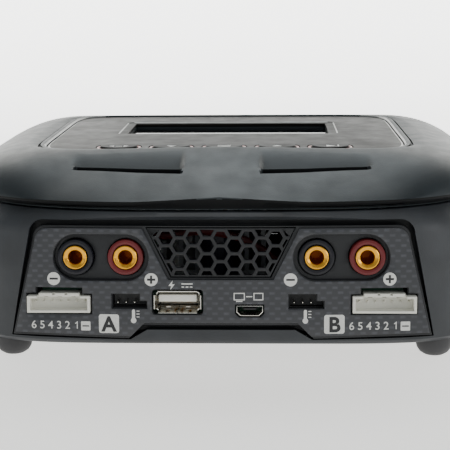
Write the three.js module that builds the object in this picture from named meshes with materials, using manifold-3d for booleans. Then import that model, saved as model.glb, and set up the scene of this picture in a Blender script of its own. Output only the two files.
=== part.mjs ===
// A two-channel balance battery charger: a lower housing and a domed cover, a leaning
// front panel with the output sockets, balance, sensor and USB ports, a control panel
// with a display and five buttons, a rear panel with the mains and DC inlets, and the
// boards, fan and power parts inside. Units are millimetres, +Z is up, the front faces -Y,
// and the origin is on the table, under the middle of the housing.
import * as THREE from "three";
import { mergeVertices } from "three/addons/utils/BufferGeometryUtils.js";
import Module from "manifold-3d";

const wasm = await Module();
wasm.setup();

// ---------------------------------------------------------------- driving dimensions
const GAP = 0.3; // between neighbouring pieces
const RING_POINTS = 44; // points round a housing outline

const FOOT_HEIGHT = 6.5;
const FOOT_RADIUS = 5.8;
const FOOT_X = 66.2;
const FOOT_Y = 62.5;

const WALL = 2.4;
const BASE_BOTTOM_Z = FOOT_HEIGHT;
const FLOOR_Z = BASE_BOTTOM_Z + 2.2;
const SEAM_Z = 47.8; // top edge of the lower housing
const SEAM_GAP = 0.5;
const COVER_EDGE_Z = 51.4; // widest line of the cover
const COVER_TOP_Z = 62.7;
const HALF_WIDTH = 86;
const HALF_DEPTH = 79;

// control panel and its pocket in the cover
const PANEL_HALF_X = 59;
const PANEL_HALF_Y = 46.5;
const PANEL_THICKNESS = 1.1;
const PANEL_TOP_Z = COVER_TOP_Z - 0.5;
const SHELF_TOP_Z = PANEL_TOP_Z - PANEL_THICKNESS - GAP;
const SHELF_BOTTOM_Z = SHELF_TOP_Z - 1.8;

// display
const WINDOW = { x: 0, y: 11, w: 71, d: 28.6 };
const LENS_DROP = 1.6; // lens face below the control panel face

// buttons
const BUTTON_PITCH = 17.2;
const BUTTON_Y = -38.3;
const BUTTON = { w: 12, d: 8 };
const BUTTON_PROUD = 0.6;
const BUTTON_NAMES = ["channel", "down", "menu", "up", "enter"];
const BOARD_THICKNESS = 1.6;
const CONTROL_BOARD_TOP_Z = 52.4;

// front panel, in its own leaning frame: x right, y back, z up along the panel
const FRONT_LEAN = THREE.MathUtils.degToRad(5);
const FRONT_Y = -74.5;
const FRONT_Z = 26.5;
const PANEL_CURVE = 0.0008; // the panel bows back by this times x squared
const PANEL_DEPTH = 2.4;
const SOCKET_Z = 6.85;
const SOCKET_X = [-44.3, -29, 29, 44.3];
const SOCKET_NAMES = ["a_negative", "a_positive", "b_negative", "b_positive"];
const POD = { x: 36.5, half: 14.75, r: 7.2, depth: 1.3 };
const BOARD_FRONT_Y = 7.3; // front face of the connector board behind the panel
const HEADER = { x: 49.55, z: -7.5, w: 19.9, h: 5.75 };
const TEMP = { a: -28.95, b: 24.8, z: -6.5 };
const USB = { x: -13.15, z: -6.7 };
const MICRO = { x: 8.75, z: -9.3 };
const VENT = { top: 15.7, bottom: 1.1, halfTop: 21.8, halfBottom: 14.95 };
const HEX_PITCH = 4.95;
const HEX_HOLE = 3.75; // across flats

// rear panel
const REAR_Y = 73.2;
const FAN = { x: -36, z: 27.5, size: 35, depth: 10 };
const AC = { x: 35, z: 26.5 };
const DC = { x: 0.5, z: 24 };

// ---------------------------------------------------------------- solid helpers
// A closed BufferGeometry as a manifold-3d solid, turned right side out.
function solid(geometry) {
  const bare = geometry.index ? geometry.toNonIndexed() : geometry.clone();
  for (const name of Object.keys(bare.attributes)) {
    if (name !== "position") bare.deleteAttribute(name);
  }
  const merged = mergeVertices(bare, 1e-4);
  const triangles = new Uint32Array(merged.index.array);
  const vertices = merged.attributes.position.array;
  const made = new wasm.Manifold(
    new wasm.Mesh({ numProp: 3, vertProperties: vertices, triVerts: triangles }),
  );
  if (made.volume() > 0) return made;
  for (let i = 0; i < triangles.length; i += 3) {
    [triangles[i + 1], triangles[i + 2]] = [triangles[i + 2], triangles[i + 1]];
  }
  return new wasm.Manifold(
    new wasm.Mesh({ numProp: 3, vertProperties: vertices, triVerts: triangles }),
  );
}

// A manifold-3d solid as a BufferGeometry.
function geometryOf(manifold) {
  const mesh = manifold.getMesh();
  const geometry = new THREE.BufferGeometry();
  geometry.setAttribute(
    "position",
    new THREE.BufferAttribute(new Float32Array(mesh.vertProperties), 3),
  );
  geometry.setIndex(new THREE.BufferAttribute(new Uint32Array(mesh.triVerts), 1));
  geometry.computeVertexNormals();
  return geometry;
}

const join = (first, ...rest) => rest.reduce((all, next) => all.add(next), first);
const cut = (first, ...rest) => rest.reduce((all, next) => all.subtract(next), first);

function box(w, d, h, x = 0, y = 0, z = 0) {
  return solid(new THREE.BoxGeometry(w, d, h).translate(x, y, z));
}

// A box given by its lowest and highest corners.
function span(low, high) {
  const [x, y, z] = [0, 1, 2].map((i) => (low[i] + high[i]) / 2);
  return box(high[0] - low[0], high[1] - low[1], high[2] - low[2], x, y, z);
}

function cylinderZ(r, z0, z1, x = 0, y = 0, sides = 20, rTop = r) {
  const geometry = new THREE.CylinderGeometry(rTop, r, z1 - z0, sides);
  return solid(geometry.rotateX(Math.PI / 2).translate(x, y, (z0 + z1) / 2));
}

function cylinderY(r, y0, y1, x = 0, z = 0, sides = 20) {
  const geometry = new THREE.CylinderGeometry(r, r, y1 - y0, sides);
  return solid(geometry.translate(x, (y0 + y1) / 2, z));
}

// An outline in x and z, extruded along y.
function prismY(points, y0, y1) {
  const shape = new THREE.Shape(points.map(([x, z]) => new THREE.Vector2(x, z)));
  const geometry = new THREE.ExtrudeGeometry(shape, {
    depth: y1 - y0,
    bevelEnabled: false,
  });
  return solid(geometry.rotateX(Math.PI / 2).translate(0, y1, 0));
}

// An outline in x and y, extruded along z.
function prismZ(points, z0, z1) {
  const shape = new THREE.Shape(points.map(([x, y]) => new THREE.Vector2(x, y)));
  const geometry = new THREE.ExtrudeGeometry(shape, {
    depth: z1 - z0,
    bevelEnabled: false,
  });
  return solid(geometry.translate(0, 0, z0));
}

// A profile of [radius, y] points turned about the Y axis.
function turned(profile, sides = 18) {
  const points = profile.map(([r, y]) => new THREE.Vector2(r, y));
  return solid(new THREE.LatheGeometry(points, sides));
}

// A skin over rings of equally many points, closed by flat fans at both ends.
function loft(rings) {
  const n = rings[0].length;
  const positions = [];
  const face = (a, b, c) => positions.push(...a, ...b, ...c);
  for (let r = 0; r + 1 < rings.length; r += 1) {
    for (let i = 0; i < n; i += 1) {
      const j = (i + 1) % n;
      face(rings[r][i], rings[r][j], rings[r + 1][j]);
      face(rings[r][i], rings[r + 1][j], rings[r + 1][i]);
    }
  }
  const middle = (ring) =>
    [0, 1, 2].map((k) => ring.reduce((sum, p) => sum + p[k], 0) / n);
  const low = rings[0];
  const high = rings[rings.length - 1];
  const [lowMiddle, highMiddle] = [middle(low), middle(high)];
  for (let i = 0; i < n; i += 1) {
    const j = (i + 1) % n;
    face(lowMiddle, low[j], low[i]);
    face(highMiddle, high[i], high[j]);
  }
  const geometry = new THREE.BufferGeometry();
  geometry.setAttribute("position", new THREE.Float32BufferAttribute(positions, 3));
  return solid(geometry);
}

// A rounded rectangle's outline, as [u, v] points, with corner arcs of some steps.
function roundedRectangle(w, h, r, steps = 4, u = 0, v = 0) {
  const points = [];
  const corners = [
    [1, 1, 0],
    [-1, 1, 1],
    [-1, -1, 2],
    [1, -1, 3],
  ];
  for (const [sx, sy, quarter] of corners) {
    for (let i = 0; i <= steps; i += 1) {
      const angle = (quarter + i / steps) * (Math.PI / 2);
      points.push([
        u + sx * (w / 2 - r) + r * Math.cos(angle),
        v + sy * (h / 2 - r) + r * Math.sin(angle),
      ]);
    }
  }
  return points;
}

const mix = (a, b, t) => a + (b - a) * t;
const smooth = (low, high, x) => {
  const t = Math.min(1, Math.max(0, (x - low) / (high - low)));
  return t * t * (3 - 2 * t);
};

// A superellipse, the plan outline of the housing.
function superellipse(a, b, n, height) {
  return Array.from({ length: RING_POINTS }, (_, i) => {
    const angle = ((i + 0.5) / RING_POINTS) * 2 * Math.PI;
    const [c, s] = [Math.cos(angle), Math.sin(angle)];
    const x = a * Math.sign(c) * Math.abs(c) ** (2 / n);
    const y = b * Math.sign(s) * Math.abs(s) ** (2 / n);
    return [x, y, typeof height === "function" ? height(x, y) : height];
  });
}

// ---------------------------------------------------------------- materials
const finish = (color, roughness, metalness = 0) =>
  new THREE.MeshStandardMaterial({ color, roughness, metalness });
const MATERIALS = {
  housing: finish(0x24272a, 0.55),
  cover: finish(0x2b2f33, 0.5),
  carbon: finish(0x34363a, 0.45),
  gloss: finish(0x111214, 0.12),
  lens: finish(0x0b0d10, 0.05),
  display: finish(0x1c2733, 0.25),
  steel: finish(0xb9bab4, 0.3, 1),
  gold: finish(0xd9a441, 0.25, 1),
  redPlastic: finish(0x8a2b2d, 0.4),
  blackPlastic: finish(0x1b1c20, 0.4),
  nylon: finish(0xcfcfc4, 0.45),
  board: finish(0x1f5a38, 0.5),
  rubber: finish(0x26282a, 0.8),
  light: finish(0xc8362c, 0.3),
  aluminium: finish(0xb0b3b6, 0.35, 1),
  copper: finish(0x9a5a2a, 0.4, 1),
};

const root = new THREE.Group();
function add(name, manifold, material, group = root) {
  const mesh = new THREE.Mesh(geometryOf(manifold), material);
  mesh.name = name;
  group.add(mesh);
  return mesh;
}

// ---------------------------------------------------------------- housing outlines
// Rings of the lower housing from the underside to the seam: [z, half x, half y, exponent].
const BASE_RINGS = [
  [BASE_BOTTOM_Z, 80.4, 72.4, 6],
  [BASE_BOTTOM_Z + 1.6, 82.4, 74.2, 6],
  [BASE_BOTTOM_Z + 24, 83.2, 74.7, 5.2],
  [BASE_BOTTOM_Z + 36, 84, 74.9, 4.3],
  [SEAM_Z, 84.4, 75, 3.4],
];

// How far the cover's front edge rises towards its middle.
const prow = (x, y) => (y < 0 ? Math.max(0, 1 - Math.abs(x) / 28) : 0);

// A ring of the cover, t = 0 at its widest line and 1 at the rim of the pocket.
function coverRing(t, inset = 0, drop = 0) {
  const a = mix(HALF_WIDTH, PANEL_HALF_X + 2, t) - inset;
  const b = mix(HALF_DEPTH, PANEL_HALF_Y + 1.5, t) - inset;
  const side = Math.sqrt(1 - (1 - t) ** 2);
  const front = 1 - (1 - t) ** 1.25;
  return superellipse(a, b, mix(3.6, 8, t), (x, y) => {
    const toSide = smooth(0.6, 0.97, Math.abs(x) / a);
    const rise = mix(front, side, toSide) * (COVER_TOP_Z - COVER_EDGE_Z);
    return COVER_EDGE_Z + rise - drop + 1.4 * prow(x, y) * (1 - t);
  });
}

const COVER_STEPS = [0, 0.04, 0.13, 0.28, 0.48, 0.72, 1];

function coverBody() {
  const rings = [
    superellipse(83.9, 74.5, 3.4, SEAM_Z + SEAM_GAP),
    superellipse(84.4, 75, 3.4, SEAM_Z + SEAM_GAP + 0.5),
    ...COVER_STEPS.map((t) => coverRing(t)),
  ];
  return loft(rings);
}

function coverHollow() {
  const below = superellipse(82, 72.6, 3.4, SEAM_Z - 1);
  const inside = [0.02, 0.2, 0.5, 0.86].map((t) => coverRing(t, WALL, WALL));
  return loft([below, ...inside]);
}

// ---------------------------------------------------------------- leaning front frame
const front = new THREE.Group();
front.position.set(0, FRONT_Y, FRONT_Z);
front.rotation.x = -FRONT_LEAN;
front.updateMatrix();
root.add(front);

const rear = new THREE.Group();
rear.position.set(0, REAR_Y, 0);
root.add(rear);

// A solid made in the front frame, moved to the part's own frame.
const inPartFrame = (manifold) => solid(geometryOf(manifold).applyMatrix4(front.matrix));

// The front panel's outline, grown by some margin.
function panelOutline(margin = 0) {
  const top = 16.6 + margin;
  const half = (z) => mix(63.8, 56.1, (z + 17.2) / 33.8) + margin;
  const points = [
    [-22.85 - margin, -13.85 - margin],
    [-27.4 - margin, -17.6 - margin],
    [-half(-17.2), -17.2 - margin],
  ];
  const steps = 4;
  const r = 4;
  for (let i = 0; i <= steps; i += 1) {
    const angle = Math.PI - (i / steps) * (Math.PI / 2);
    points.push([
      -half(top - r) + r + r * Math.cos(angle),
      top - r + r * Math.sin(angle),
    ]);
  }
  const mirrored = [...points].reverse().map(([x, z]) => [-x, z]);
  return [...points, ...mirrored];
}

// A slab bowed in plan, from y0 to y1 behind the bowed face y = curve x^2.
function bowedSlab(y0, y1, halfX = 68, z0 = -30, z1 = 30, curve = PANEL_CURVE) {
  const steps = 14;
  const xs = Array.from({ length: steps + 1 }, (_, i) => mix(-halfX, halfX, i / steps));
  const face = xs.map((x) => [x, y0 + curve * x * x]);
  const back = [...xs].reverse().map((x) => [x, y1 + curve * x * x]);
  return prismZ([...face, ...back], z0, z1);
}

const stadium = (x, z, half, r, steps = 8) =>
  roundedRectangle(2 * half, 2 * r, r - 0.01, steps, x, z);

// Cut-outs that the overlay and the panel share, grown by some margin.
function portCuts(grow, y0, y1) {
  const cuts = [];
  for (const side of [-1, 1]) {
    cuts.push(
      box(HEADER.w + 2 * grow, y1 - y0, HEADER.h + 2 * grow, side * HEADER.x,
        (y0 + y1) / 2, HEADER.z),
      box(14 + 2 * grow, y1 - y0, 2.2 + grow, side * HEADER.x, (y0 + y1) / 2,
        HEADER.z + HEADER.h / 2 + 0.9),
    );
  }
  for (const x of [TEMP.a, TEMP.b]) {
    cuts.push(
      box(8.2 + grow, y1 - y0, 4.1 + grow, x, (y0 + y1) / 2, TEMP.z),
      box(2.4 + grow, y1 - y0, 2 + grow, x + 5.1, (y0 + y1) / 2, TEMP.z - 1.05),
    );
  }
  cuts.push(
    prismY(roundedRectangle(15.4 + grow, 7.5 + grow, 0.9, 2, USB.x, USB.z), y0, y1),
    prismY(microOutline(0.55 + grow / 2), y0, y1),
  );
  return cuts;
}

// The micro USB mouth: wide at the top, chamfered at the bottom.
function microOutline(margin) {
  const points = [
    [-2.6, -1.3],
    [2.6, -1.3],
    [3.75, -0.2],
    [3.75, 1.3],
    [-3.75, 1.3],
    [-3.75, -0.2],
  ];
  const grow = (value) => value + Math.sign(value) * margin;
  return points.map(([x, z]) => [MICRO.x + grow(x), MICRO.z + grow(z)]);
}

function ventOutline(margin) {
  return [
    [-VENT.halfBottom - margin, VENT.bottom - margin],
    [VENT.halfBottom + margin, VENT.bottom - margin],
    [VENT.halfTop + margin, VENT.top + margin],
    [-VENT.halfTop - margin, VENT.top + margin],
  ];
}

// ---------------------------------------------------------------- lower housing
const SCREW = { x: 60, y: 55 };
const CORNERS = [
  [-1, -1],
  [1, -1],
  [1, 1],
  [-1, 1],
];

function rearOutline(margin = 0) {
  return roundedRectangle(122 + 2 * margin, 33 + 2 * margin, 4, 4, 0, 26.5);
}

function baseShell() {
  const outer = loft(BASE_RINGS.map(([z, a, b, n]) => superellipse(a, b, n, z)));
  const inner = loft([
    superellipse(79.6, 71.6, 6, FLOOR_Z),
    superellipse(80.8, 72.4, 5.2, BASE_BOTTOM_Z + 24),
    superellipse(82, 72.6, 3.4, SEAM_Z + 1),
  ]);
  let shell = cut(outer, inner);
  // posts for the case screws, with the board resting on their shoulders
  for (const [sx, sy] of CORNERS) {
    const [x, y] = [sx * SCREW.x, sy * SCREW.y];
    shell = join(shell, cylinderZ(4.6, FLOOR_Z - 1, 13.2, x, y, 16));
    shell = cut(
      shell,
      cylinderZ(1.9, BASE_BOTTOM_Z - 1, 14, x, y, 12),
      cylinderZ(3.4, BASE_BOTTOM_Z - 1, BASE_BOTTOM_Z + 3.4, x, y, 16),
      cylinderZ(3.2, BASE_BOTTOM_Z - 1, BASE_BOTTOM_Z + 1.4, sx * FOOT_X, sy * FOOT_Y, 16),
    );
  }
  // slots under the power parts
  for (let i = -3; i <= 3; i += 1) {
    shell = cut(shell, box(34, 2.6, 8, 0, i * 6.2 + 4, BASE_BOTTOM_Z));
  }
  const rearCut = prismY(rearOutline(0.4), 62, 90);
  return cut(shell, inPartFrame(frontOpening()), rearCut);
}

// The front opening's outline: a groove round the panel, wider above and in the middle.
function openingOutline(spare) {
  const top = 17.5 + spare;
  const half = (z) => mix(64.3, 57.4, (z + 17.2) / 33.8) + spare;
  const points = [[-21.4, -15.5], [-26.9, -18.1], [-half(-17.7), -17.7]];
  const steps = 4;
  const r = 4.6;
  for (let i = 0; i <= steps; i += 1) {
    const angle = Math.PI - (i / steps) * (Math.PI / 2);
    points.push([
      -half(top - r) + r + r * Math.cos(angle),
      top - r + r * Math.sin(angle),
    ]);
  }
  const mirrored = [...points].reverse().map(([x, z]) => [-x, z]);
  return [...points, ...mirrored];
}

// The opening with its rim flared towards the outside.
function frontOpening() {
  const stages = [[0, 14], [0, 0], [1.6, -3], [3.2, -6]];
  return loft(stages.map(([spare, y]) => openingOutline(spare).map(([x, z]) => [x, y, z])));
}

add("base_shell", baseShell(), MATERIALS.housing);

// ---------------------------------------------------------------- cover
const SCOOP = { inner: 12, outer: 46, frontInner: -63.6, frontOuter: -61.2, back: -52.5 };

// One of the two scoops in the front slope, sinking towards the front.
function scoop(side) {
  const at = (x, y, z) => [side * x, y, z];
  const bottom = [
    at(SCOOP.inner, SCOOP.frontInner, 55.7),
    at(SCOOP.outer, SCOOP.frontOuter, 56.4),
    at(SCOOP.outer + 0.6, SCOOP.back, 61.6),
    at(SCOOP.inner - 0.6, SCOOP.back, 61.7),
  ];
  const top = bottom.map(([x, y]) => [x, y, 68]);
  return loft([bottom, top]);
}

// A crescent sunk into the cover beside the control panel.
function crescent(side) {
  const steps = 10;
  const inner = [];
  const outer = [];
  for (let i = 0; i <= steps; i += 1) {
    const t = i / steps;
    const y = mix(-41, 41, t);
    const bulge = Math.sin(Math.PI * t);
    inner.push([side * 61.4, y]);
    outer.push([side * (61.6 + 6.4 * bulge), y]);
  }
  const outline = [...inner, ...outer.reverse()];
  const low = outline.map(([x, y]) => {
    const depth = Math.abs(x) < 61.5 ? 61.7 : 62.6;
    return [x, y, depth];
  });
  const high = outline.map(([x, y]) => [x, y, 66]);
  return loftFlat(low, high);
}

// A closed solid between two outlines of one plan, with triangulated ends.
function loftFlat(low, high) {
  const plan = low.map(([x, y]) => new THREE.Vector2(x, y));
  const faces = THREE.ShapeUtils.triangulateShape(plan, []);
  const positions = [];
  const face = (a, b, c) => positions.push(...a, ...b, ...c);
  for (const [a, b, c] of faces) {
    face(low[a], low[c], low[b]);
    face(high[a], high[b], high[c]);
  }
  const n = low.length;
  const clockwise = THREE.ShapeUtils.isClockWise(plan);
  for (let i = 0; i < n; i += 1) {
    const j = (i + 1) % n;
    const [p, q] = clockwise ? [j, i] : [i, j];
    face(low[p], low[q], high[q]);
    face(low[p], high[q], high[p]);
  }
  const geometry = new THREE.BufferGeometry();
  geometry.setAttribute("position", new THREE.Float32BufferAttribute(positions, 3));
  return solid(geometry);
}

// The control panel's outline: straight ends and gently bowed sides.
function controlOutline(margin = 0) {
  const points = [];
  const steps = 6;
  const r = 5;
  const [hx, hy] = [PANEL_HALF_X + margin, PANEL_HALF_Y + margin];
  const bow = (y) => 1.6 * (y / PANEL_HALF_Y) ** 2;
  for (let i = 0; i <= steps; i += 1) {
    const y = mix(-hy + r, hy - r, i / steps);
    points.push([hx - bow(y), y]);
  }
  const x0 = hx - bow(hy - r) - r;
  for (let i = 1; i <= 3; i += 1) {
    const angle = (i / 3) * (Math.PI / 2);
    points.push([x0 + r * Math.cos(angle), hy - r + r * Math.sin(angle)]);
  }
  const left = [...points].reverse().map(([x, y]) => [-x, y]);
  const bottomLeft = [1, 2, 3].map((i) => {
    const angle = Math.PI + (i / 3) * (Math.PI / 2);
    return [-x0 + r * Math.cos(angle), -hy + r + r * Math.sin(angle)];
  });
  const bottomRight = [0, 1, 2].map((i) => {
    const angle = 1.5 * Math.PI + (i / 3) * (Math.PI / 2);
    return [x0 + r * Math.cos(angle), -hy + r + r * Math.sin(angle)];
  });
  return [...points, ...left, ...bottomLeft, ...bottomRight];
}

const buttonX = (i) => (i - 2) * BUTTON_PITCH;
const oval = (w, d, x, y, sides = 16) =>
  Array.from({ length: sides }, (_, i) => {
    const angle = (i / sides) * 2 * Math.PI;
    const [c, s] = [Math.cos(angle), Math.sin(angle)];
    return [
      x + (w / 2) * Math.sign(c) * Math.abs(c) ** 0.75,
      y + (d / 2) * Math.sign(s) * Math.abs(s) ** 0.75,
    ];
  });

function topCover() {
  let cover = cut(coverBody(), coverHollow());
  // a shelf closes the dome under the control panel
  const shelf = prismZ(controlOutline(3), SHELF_BOTTOM_Z, COVER_TOP_Z - 0.4);
  cover = join(cover, shelf);
  cover = cut(cover, prismZ(controlOutline(GAP), SHELF_TOP_Z, COVER_TOP_Z + 3));
  cover = cut(
    cover,
    box(WINDOW.w, WINDOW.d, 20, WINDOW.x, WINDOW.y, SHELF_TOP_Z),
    scoop(-1),
    scoop(1),
    crescent(-1),
    crescent(1),
  );
  for (let i = 0; i < 5; i += 1) {
    const hole = oval(BUTTON.w + 3.4, BUTTON.d + 3.4, buttonX(i), BUTTON_Y, 16);
    cover = cut(cover, prismZ(hole, SHELF_BOTTOM_Z - 3, SHELF_TOP_Z + 1));
  }
  // bosses that take the case screws
  for (const [sx, sy] of CORNERS) {
    const [x, y] = [sx * SCREW.x, sy * SCREW.y];
    const boss = cut(
      cylinderZ(3.8, 15.6, 58, x, y, 14),
      cylinderZ(1.9, 15, 30, x, y, 12),
    );
    cover = join(cover, boss.intersect(coverBody().add(cylinderZ(5, 10, 50, x, y, 12))));
  }
  return cover;
}

add("top_cover", topCover(), MATERIALS.cover);

// ---------------------------------------------------------------- front panel pieces
// The flange behind the front panel, which closes the groove round it.
function flangeOutline() {
  const points = [[-21.6, -15.6], [-24.6, -16.4], [-62.8, -16.4], [-59, 18.4]];
  return [...points, ...[...points].reverse().map(([x, z]) => [-x, z])];
}

function frontPanel() {
  const middle = prismY(panelOutline(-1.3), -6, 11);
  let panel = join(
    bowedSlab(0.55, 0.55 + PANEL_DEPTH).intersect(prismY(panelOutline(0), -5, 10)),
    bowedSlab(2.5, 5.5, 68, -16.4).intersect(prismY(panelOutline(-0.2), -5, 10)).subtract(middle),
    bowedSlab(4.8, 5.5).intersect(prismY(flangeOutline(), -5, 10)).subtract(middle),
  );
  for (const side of [-1, 1]) {
    const backing = bowedSlab(1.5, 4.2).intersect(
      prismY(stadium(side * POD.x, SOCKET_Z, POD.half + 1, POD.r + 0.8), -5, 10),
    );
    panel = join(panel, backing);
    panel = cut(
      panel,
      prismY(stadium(side * POD.x, SOCKET_Z, POD.half - 0.3, POD.r - 0.3), -5,
        POD.depth + 1.1),
    );
  }
  for (const x of SOCKET_X) {
    panel = cut(panel, cylinderY(5.7, -5, 10, x, SOCKET_Z, 24));
  }
  return cut(panel, prismY(ventOutline(GAP), -5, 10), ...portCuts(0, -5, 10));
}

function frontOverlay() {
  const sheet = bowedSlab(-0.15, 0.25).intersect(prismY(panelOutline(-0.8), -5, 10));
  const pods = [-1, 1].map((side) =>
    prismY(stadium(side * POD.x, SOCKET_Z, POD.half, POD.r), -5, 10),
  );
  return cut(sheet, ...pods, prismY(ventOutline(0.9), -5, 10), ...portCuts(0.3, -5, 10));
}

// A flat-topped hexagon, across flats.
function hexagon(flats, x, z) {
  const r = flats / Math.sqrt(3);
  return Array.from({ length: 6 }, (_, i) => {
    const angle = (i * Math.PI) / 3;
    return [x + r * Math.cos(angle), z + r * Math.sin(angle)];
  });
}

function ventGrille() {
  const plate = bowedSlab(0.5, 2.9).intersect(prismY(ventOutline(0), -5, 10));
  const inside = prismY(ventOutline(-0.9), -6, 11);
  const column = (HEX_PITCH * Math.sqrt(3)) / 2;
  let holes = null;
  for (let k = -5; k <= 5; k += 1) {
    const shift = k % 2 ? HEX_PITCH / 2 : 0;
    for (let row = -1; row <= 3; row += 1) {
      const z = 3.04 + shift + row * HEX_PITCH;
      const hole = prismY(hexagon(HEX_HOLE, k * column, z), -5, 10).intersect(inside);
      if (hole.volume() < 15) continue;
      holes = holes ? holes.add(hole) : hole;
    }
  }
  return plate.subtract(holes);
}

add("front_panel", frontPanel(), MATERIALS.housing, front);
add("front_overlay", frontOverlay(), MATERIALS.carbon, front);
add("vent_grille", ventGrille(), MATERIALS.housing, front);

// ---------------------------------------------------------------- output sockets
const BUSHING_PROFILE = [
  [4.0, -0.2],
  [5.4, -0.2],
  [5.4, 6.6],
  [3.4, 6.6],
  [3.4, 1.3],
  [4.0, 1.3],
  [4.0, -0.2],
];
const CONTACT_PROFILE = [
  [0, 13],
  [2, 13],
  [2, -0.5],
  [3.6, -0.5],
  [3.6, 1],
  [3.05, 1],
  [3.05, 16],
  [0, 16],
];

SOCKET_X.forEach((x, i) => {
  const name = SOCKET_NAMES[i];
  const plastic = name.endsWith("positive") ? MATERIALS.redPlastic : MATERIALS.blackPlastic;
  const bow = PANEL_CURVE * POD.x ** 2 + 0.3;
  const bushing = add(`socket_bushing_${name}`, turned(BUSHING_PROFILE), plastic, front);
  const contact = add(`socket_contact_${name}`, turned(CONTACT_PROFILE), MATERIALS.gold, front);
  for (const mesh of [bushing, contact]) mesh.position.set(x, bow, SOCKET_Z);
});

// ---------------------------------------------------------------- balance ports
const PIN = 0.64;
const HEADER_BOW = 2.3;
const HEADER_BACK = BOARD_FRONT_Y + 1.1 - GAP;

// A row of square pins along x.
function pinRow(count, pitch, y0, y1, z) {
  const pins = Array.from({ length: count }, (_, i) =>
    box(PIN, y1 - y0, PIN, (i - (count - 1) / 2) * pitch, (y0 + y1) / 2, z),
  );
  return join(...pins);
}

// A seven-way header: a shroud open towards the front, with a keying slot in its top wall.
function balancePort() {
  const [hw, hh] = [HEADER.w / 2 - 0.3, HEADER.h / 2 - 0.3];
  const shroud = cut(
    span([-hw, HEADER_BOW - 2, -hh], [hw, HEADER_BACK, hh]),
    span([-hw + 0.8, HEADER_BOW - 3, -hh + 0.7], [hw - 0.8, HEADER_BACK - 1.4, hh - 0.7]),
    span([-6.9, HEADER_BOW - 3, 1], [6.9, HEADER_BOW + 1.2, HEADER.h]),
  );
  return join(shroud, pinRow(7, 2.5, HEADER_BOW + 0.4, HEADER_BACK - 0.6, 0.2));
}

for (const [letter, side] of [["a", -1], ["b", 1]]) {
  const port = add(`balance_port_${letter}`, balancePort(), MATERIALS.nylon, front);
  port.position.set(side * HEADER.x, 0, HEADER.z);
}

// ---------------------------------------------------------------- temperature ports
function tempPort() {
  const y0 = PANEL_DEPTH + 2.1;
  const shroud = cut(
    span([-5.6, y0, -2.9], [7.4, HEADER_BACK, 2.9]),
    span([-4.2, y0 - 1, -2.1], [6.2, HEADER_BACK - 1.3, 2.1]),
  );
  return join(shroud, pinRow(3, 2.54, 1.8, HEADER_BACK - 0.6, 0));
}

for (const [letter, x] of [["a", TEMP.a], ["b", TEMP.b]]) {
  const port = add(`temp_port_${letter}`, tempPort(), MATERIALS.blackPlastic, front);
  port.position.set(x, 0, TEMP.z);
}

// ---------------------------------------------------------------- USB ports
const rectangle = (w, h, y) => [
  [-w / 2, y, -h / 2],
  [w / 2, y, -h / 2],
  [w / 2, y, h / 2],
  [-w / 2, y, h / 2],
];

function usbShell() {
  const outer = loft([rectangle(14.4, 6.9, 0.2), rectangle(13.2, 5.7, 1.5),
    rectangle(13.2, 5.7, 13)]);
  const inner = loft([rectangle(13.6, 6.1, -0.6), rectangle(12.4, 4.9, 1.4),
    rectangle(12.4, 4.9, 14)]);
  const seam = span([-0.1, -1, -4], [0.1, 14, -2.2]);
  return cut(outer, inner, seam);
}

function usbTongue() {
  return join(
    span([-5.55, 1.4, 0.2], [5.55, 10.2, 2]),
    span([-5.9, 10, -2.15], [5.9, 12.8, 2.15]),
  );
}

const usbShellMesh = add("usb_port_shell", usbShell(), MATERIALS.steel, front);
const usbTongueMesh = add("usb_port_tongue", usbTongue(), MATERIALS.nylon, front);
for (const mesh of [usbShellMesh, usbTongueMesh]) mesh.position.set(USB.x, 0, USB.z);

function microShell() {
  return cut(prismY(microOutline(0), 0.3, 6.6), prismY(microOutline(-0.35), -1, 7));
}

function microTongue() {
  return join(
    span([MICRO.x - 1.85, 1.2, MICRO.z + 0.1], [MICRO.x + 1.85, 5.5, MICRO.z + 0.65]),
    span([MICRO.x - 2.1, 5.2, MICRO.z - 0.6], [MICRO.x + 2.1, 6.5, MICRO.z + 0.65]),
  );
}

add("micro_usb_shell", microShell(), MATERIALS.steel, front);
add("micro_usb_tongue", microTongue(), MATERIALS.blackPlastic, front);

// ---------------------------------------------------------------- connector board
function connectorBoard() {
  const y0 = BOARD_FRONT_Y + 1.1;
  let board = prismY(
    [
      [-57, -16.3], [57, -16.3], [54, 14.5], [24, 14.5], [20, 10], [20, -1.6],
      [-20, -1.6], [-20, 10], [-24, 14.5], [-54, 14.5],
    ],
    y0, y0 + BOARD_THICKNESS,
  );
  for (const x of SOCKET_X) {
    board = cut(board, cylinderY(3.4, 0, 20, x, SOCKET_Z, 12));
  }
  return cut(board, box(14, 20, 6.5, USB.x, 10, USB.z));
}

add("connector_board", connectorBoard(), MATERIALS.board, front);

// ---------------------------------------------------------------- control panel
function controlPanel() {
  let panel = prismZ(controlOutline(0), PANEL_TOP_Z - PANEL_THICKNESS, PANEL_TOP_Z);
  panel = cut(panel, box(WINDOW.w, WINDOW.d, 10, WINDOW.x, WINDOW.y, PANEL_TOP_Z));
  for (let i = 0; i < 5; i += 1) {
    const hole = oval(BUTTON.w + 3, BUTTON.d + 3, buttonX(i), BUTTON_Y);
    panel = cut(panel, prismZ(hole, PANEL_TOP_Z - 5, PANEL_TOP_Z + 5));
  }
  return panel;
}

add("control_panel", controlPanel(), MATERIALS.gloss);

const LENS_TOP_Z = PANEL_TOP_Z - LENS_DROP;
add("display_window",
  box(WINDOW.w - 0.6, WINDOW.d - 0.6, 1.2, WINDOW.x, WINDOW.y, LENS_TOP_Z - 0.6),
  MATERIALS.lens);

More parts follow.
